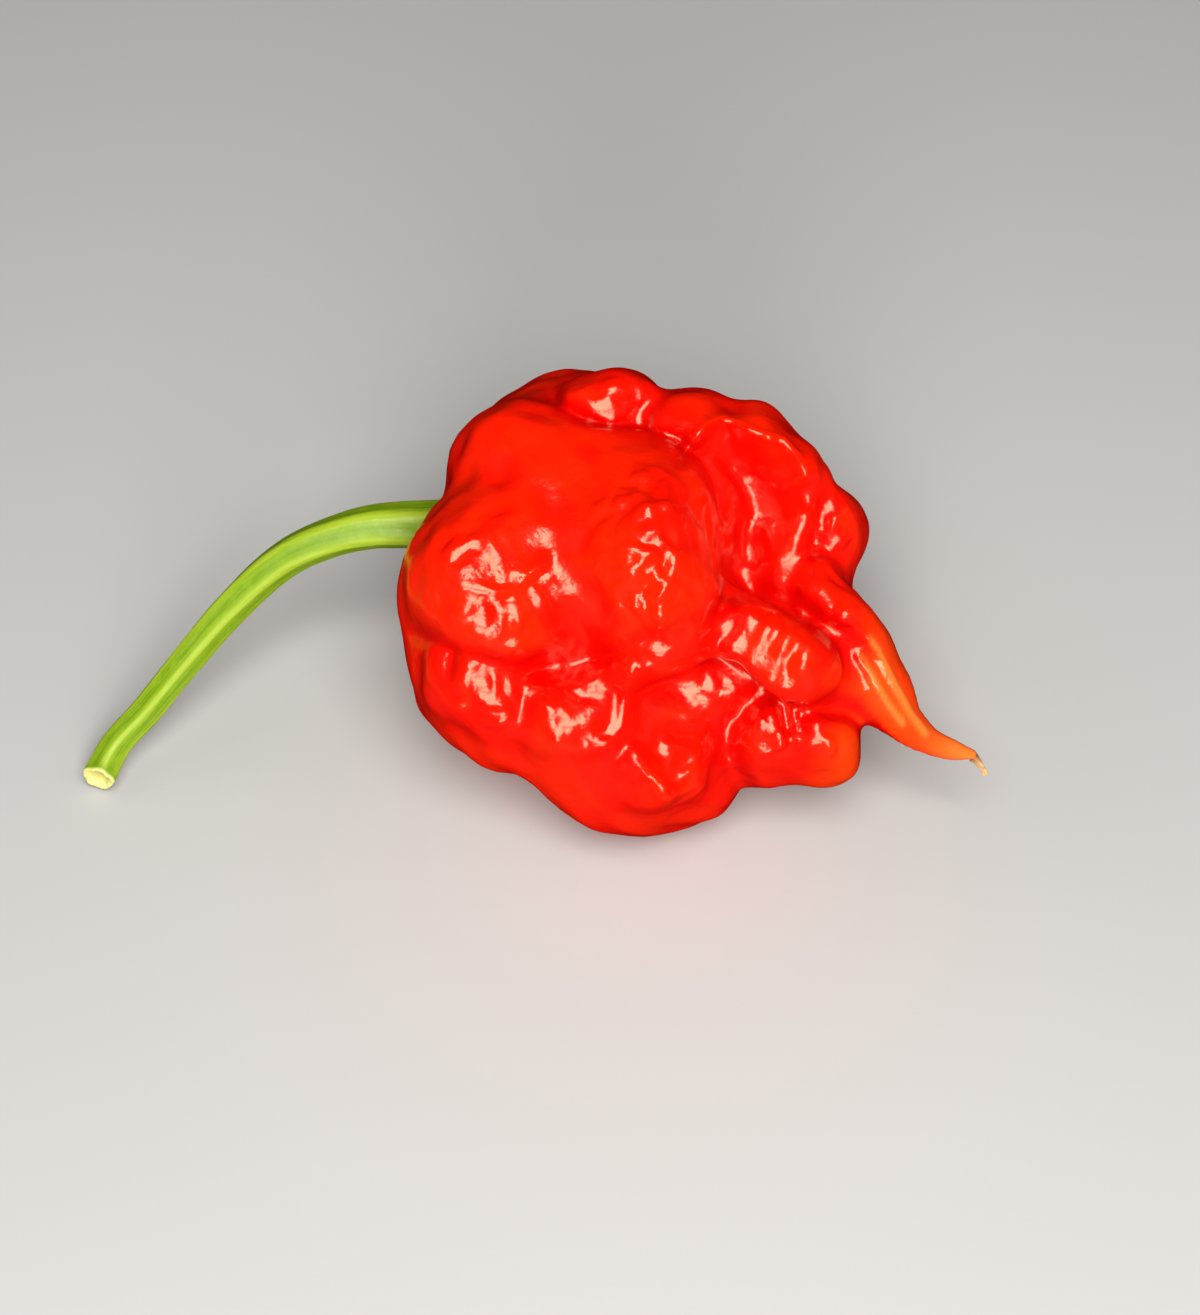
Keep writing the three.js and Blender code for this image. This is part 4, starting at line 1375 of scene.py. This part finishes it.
@dataclass(frozen=True)
class SoftLight:
    """Soft lamp that faces the pod from a place in the pepper's own axes; only one that shows is mirrored."""

    name: str
    at: Place
    size: float
    power: float
    shows: bool = False
    colour: Colour = (1.0, 0.94, 0.84)

    def build(self) -> bpy.types.Object:
        """Makes the lamp.

        Returns:
            The lamp's object.
        """
        lamp = bpy.data.lights.new(self.name, "AREA")
        lamp.shape = "DISK"
        lamp.size = self.size * MILLIMETRE
        lamp.energy = self.power
        lamp.color = self.colour
        made = bpy.data.objects.new(self.name, lamp)
        place = LIE.to_frame(np.array([self.at], float))[0]
        target = LIE.to_frame(np.zeros((1, 3)))[0]
        made.location = place
        made.rotation_euler = aim(place, target)
        made.visible_glossy = self.shows
        bpy.context.scene.collection.objects.link(made)
        return made


def aim(place: Points, target: Points) -> object:
    """Turn that points an object's -Z axis from place to target."""
    return (Vector(target) - Vector(place)).to_track_quat("-Z", "Y").to_euler()


@dataclass
class Studio:
    """Plain floor, soft lamps and the camera at the picture's angle."""

    floor_finish: PaleFloor = field(default_factory=PaleFloor)
    floor_size: float = 3.0
    camera_at: Place = (-2.43, -4.07, 260.0)
    lens: float = 99.65
    air: Colour = (1.0, 1.0, 1.0)
    air_strength: float = 0.1
    lamps: tuple[SoftLight, ...] = (
        SoftLight("key_light", (10.0, 30.0, 300.0), 200.0, 1.2, shows=True),
        SoftLight("low_light", (0.0, -140.0, 260.0), 130.0, 0.5, shows=True),
        SoftLight("fill_light", (-260.0, 160.0, 160.0), 260.0, 0.13),
        SoftLight("side_light", (240.0, 60.0, 200.0), 200.0, 0.1),
    )

    def build(self) -> None:
        """Makes the floor, the lamps, the air and the camera."""
        half = self.floor_size / 2.0
        corners = [(-half, -half, 0.0), (half, -half, 0.0), (half, half, 0.0), (-half, half, 0.0)]
        mesh = bpy.data.meshes.new("floor")
        mesh.from_pydata(corners, [], [(0, 1, 2, 3)])
        mesh.materials.append(self.floor_finish.material())
        floor = bpy.data.objects.new("floor", mesh)
        bpy.context.scene.collection.objects.link(floor)
        floor.visible_glossy = False
        for lamp in self.lamps:
            lamp.build()
        self.light_air()
        self.place_camera()

    def light_air(self) -> None:
        """Fills the surroundings with an even pale light."""
        world = bpy.data.worlds.new("air")
        world.use_nodes = True
        background = world.node_tree.nodes["Background"]
        background.inputs["Color"].default_value = (*self.air, 1.0)
        background.inputs["Strength"].default_value = self.air_strength
        bpy.context.scene.world = world
        world.cycles_visibility.glossy = False

    def place_camera(self) -> None:
        """Puts the camera in front of the pepper's face."""
        camera = bpy.data.cameras.new("camera")
        camera.lens = self.lens
        camera.sensor_width = 36.0
        camera.clip_start = 0.01
        made = bpy.data.objects.new("camera", camera)
        made.location = LIE.to_frame(np.array([self.camera_at]))[0]
        made.rotation_euler = (LIE.face_lean, 0.0, 0.0)
        bpy.context.scene.collection.objects.link(made)
        bpy.context.scene.camera = made


def main() -> None:
    """Builds the pepper piece by piece, then what shows it."""
    logging.basicConfig(level=logging.INFO, format="%(name)s: %(message)s")
    bpy.context.scene.view_settings.view_transform = "Standard"
    form = PodForm()
    for piece in (Pod(form), Stalk(form), DryStyle()):
        made = piece.build()
        log.info("%s has %d faces", made.name, len(made.data.polygons))
    Studio().build()
    log.info("floor, lamps and camera are in place")


if __name__ == "__main__":
    main()
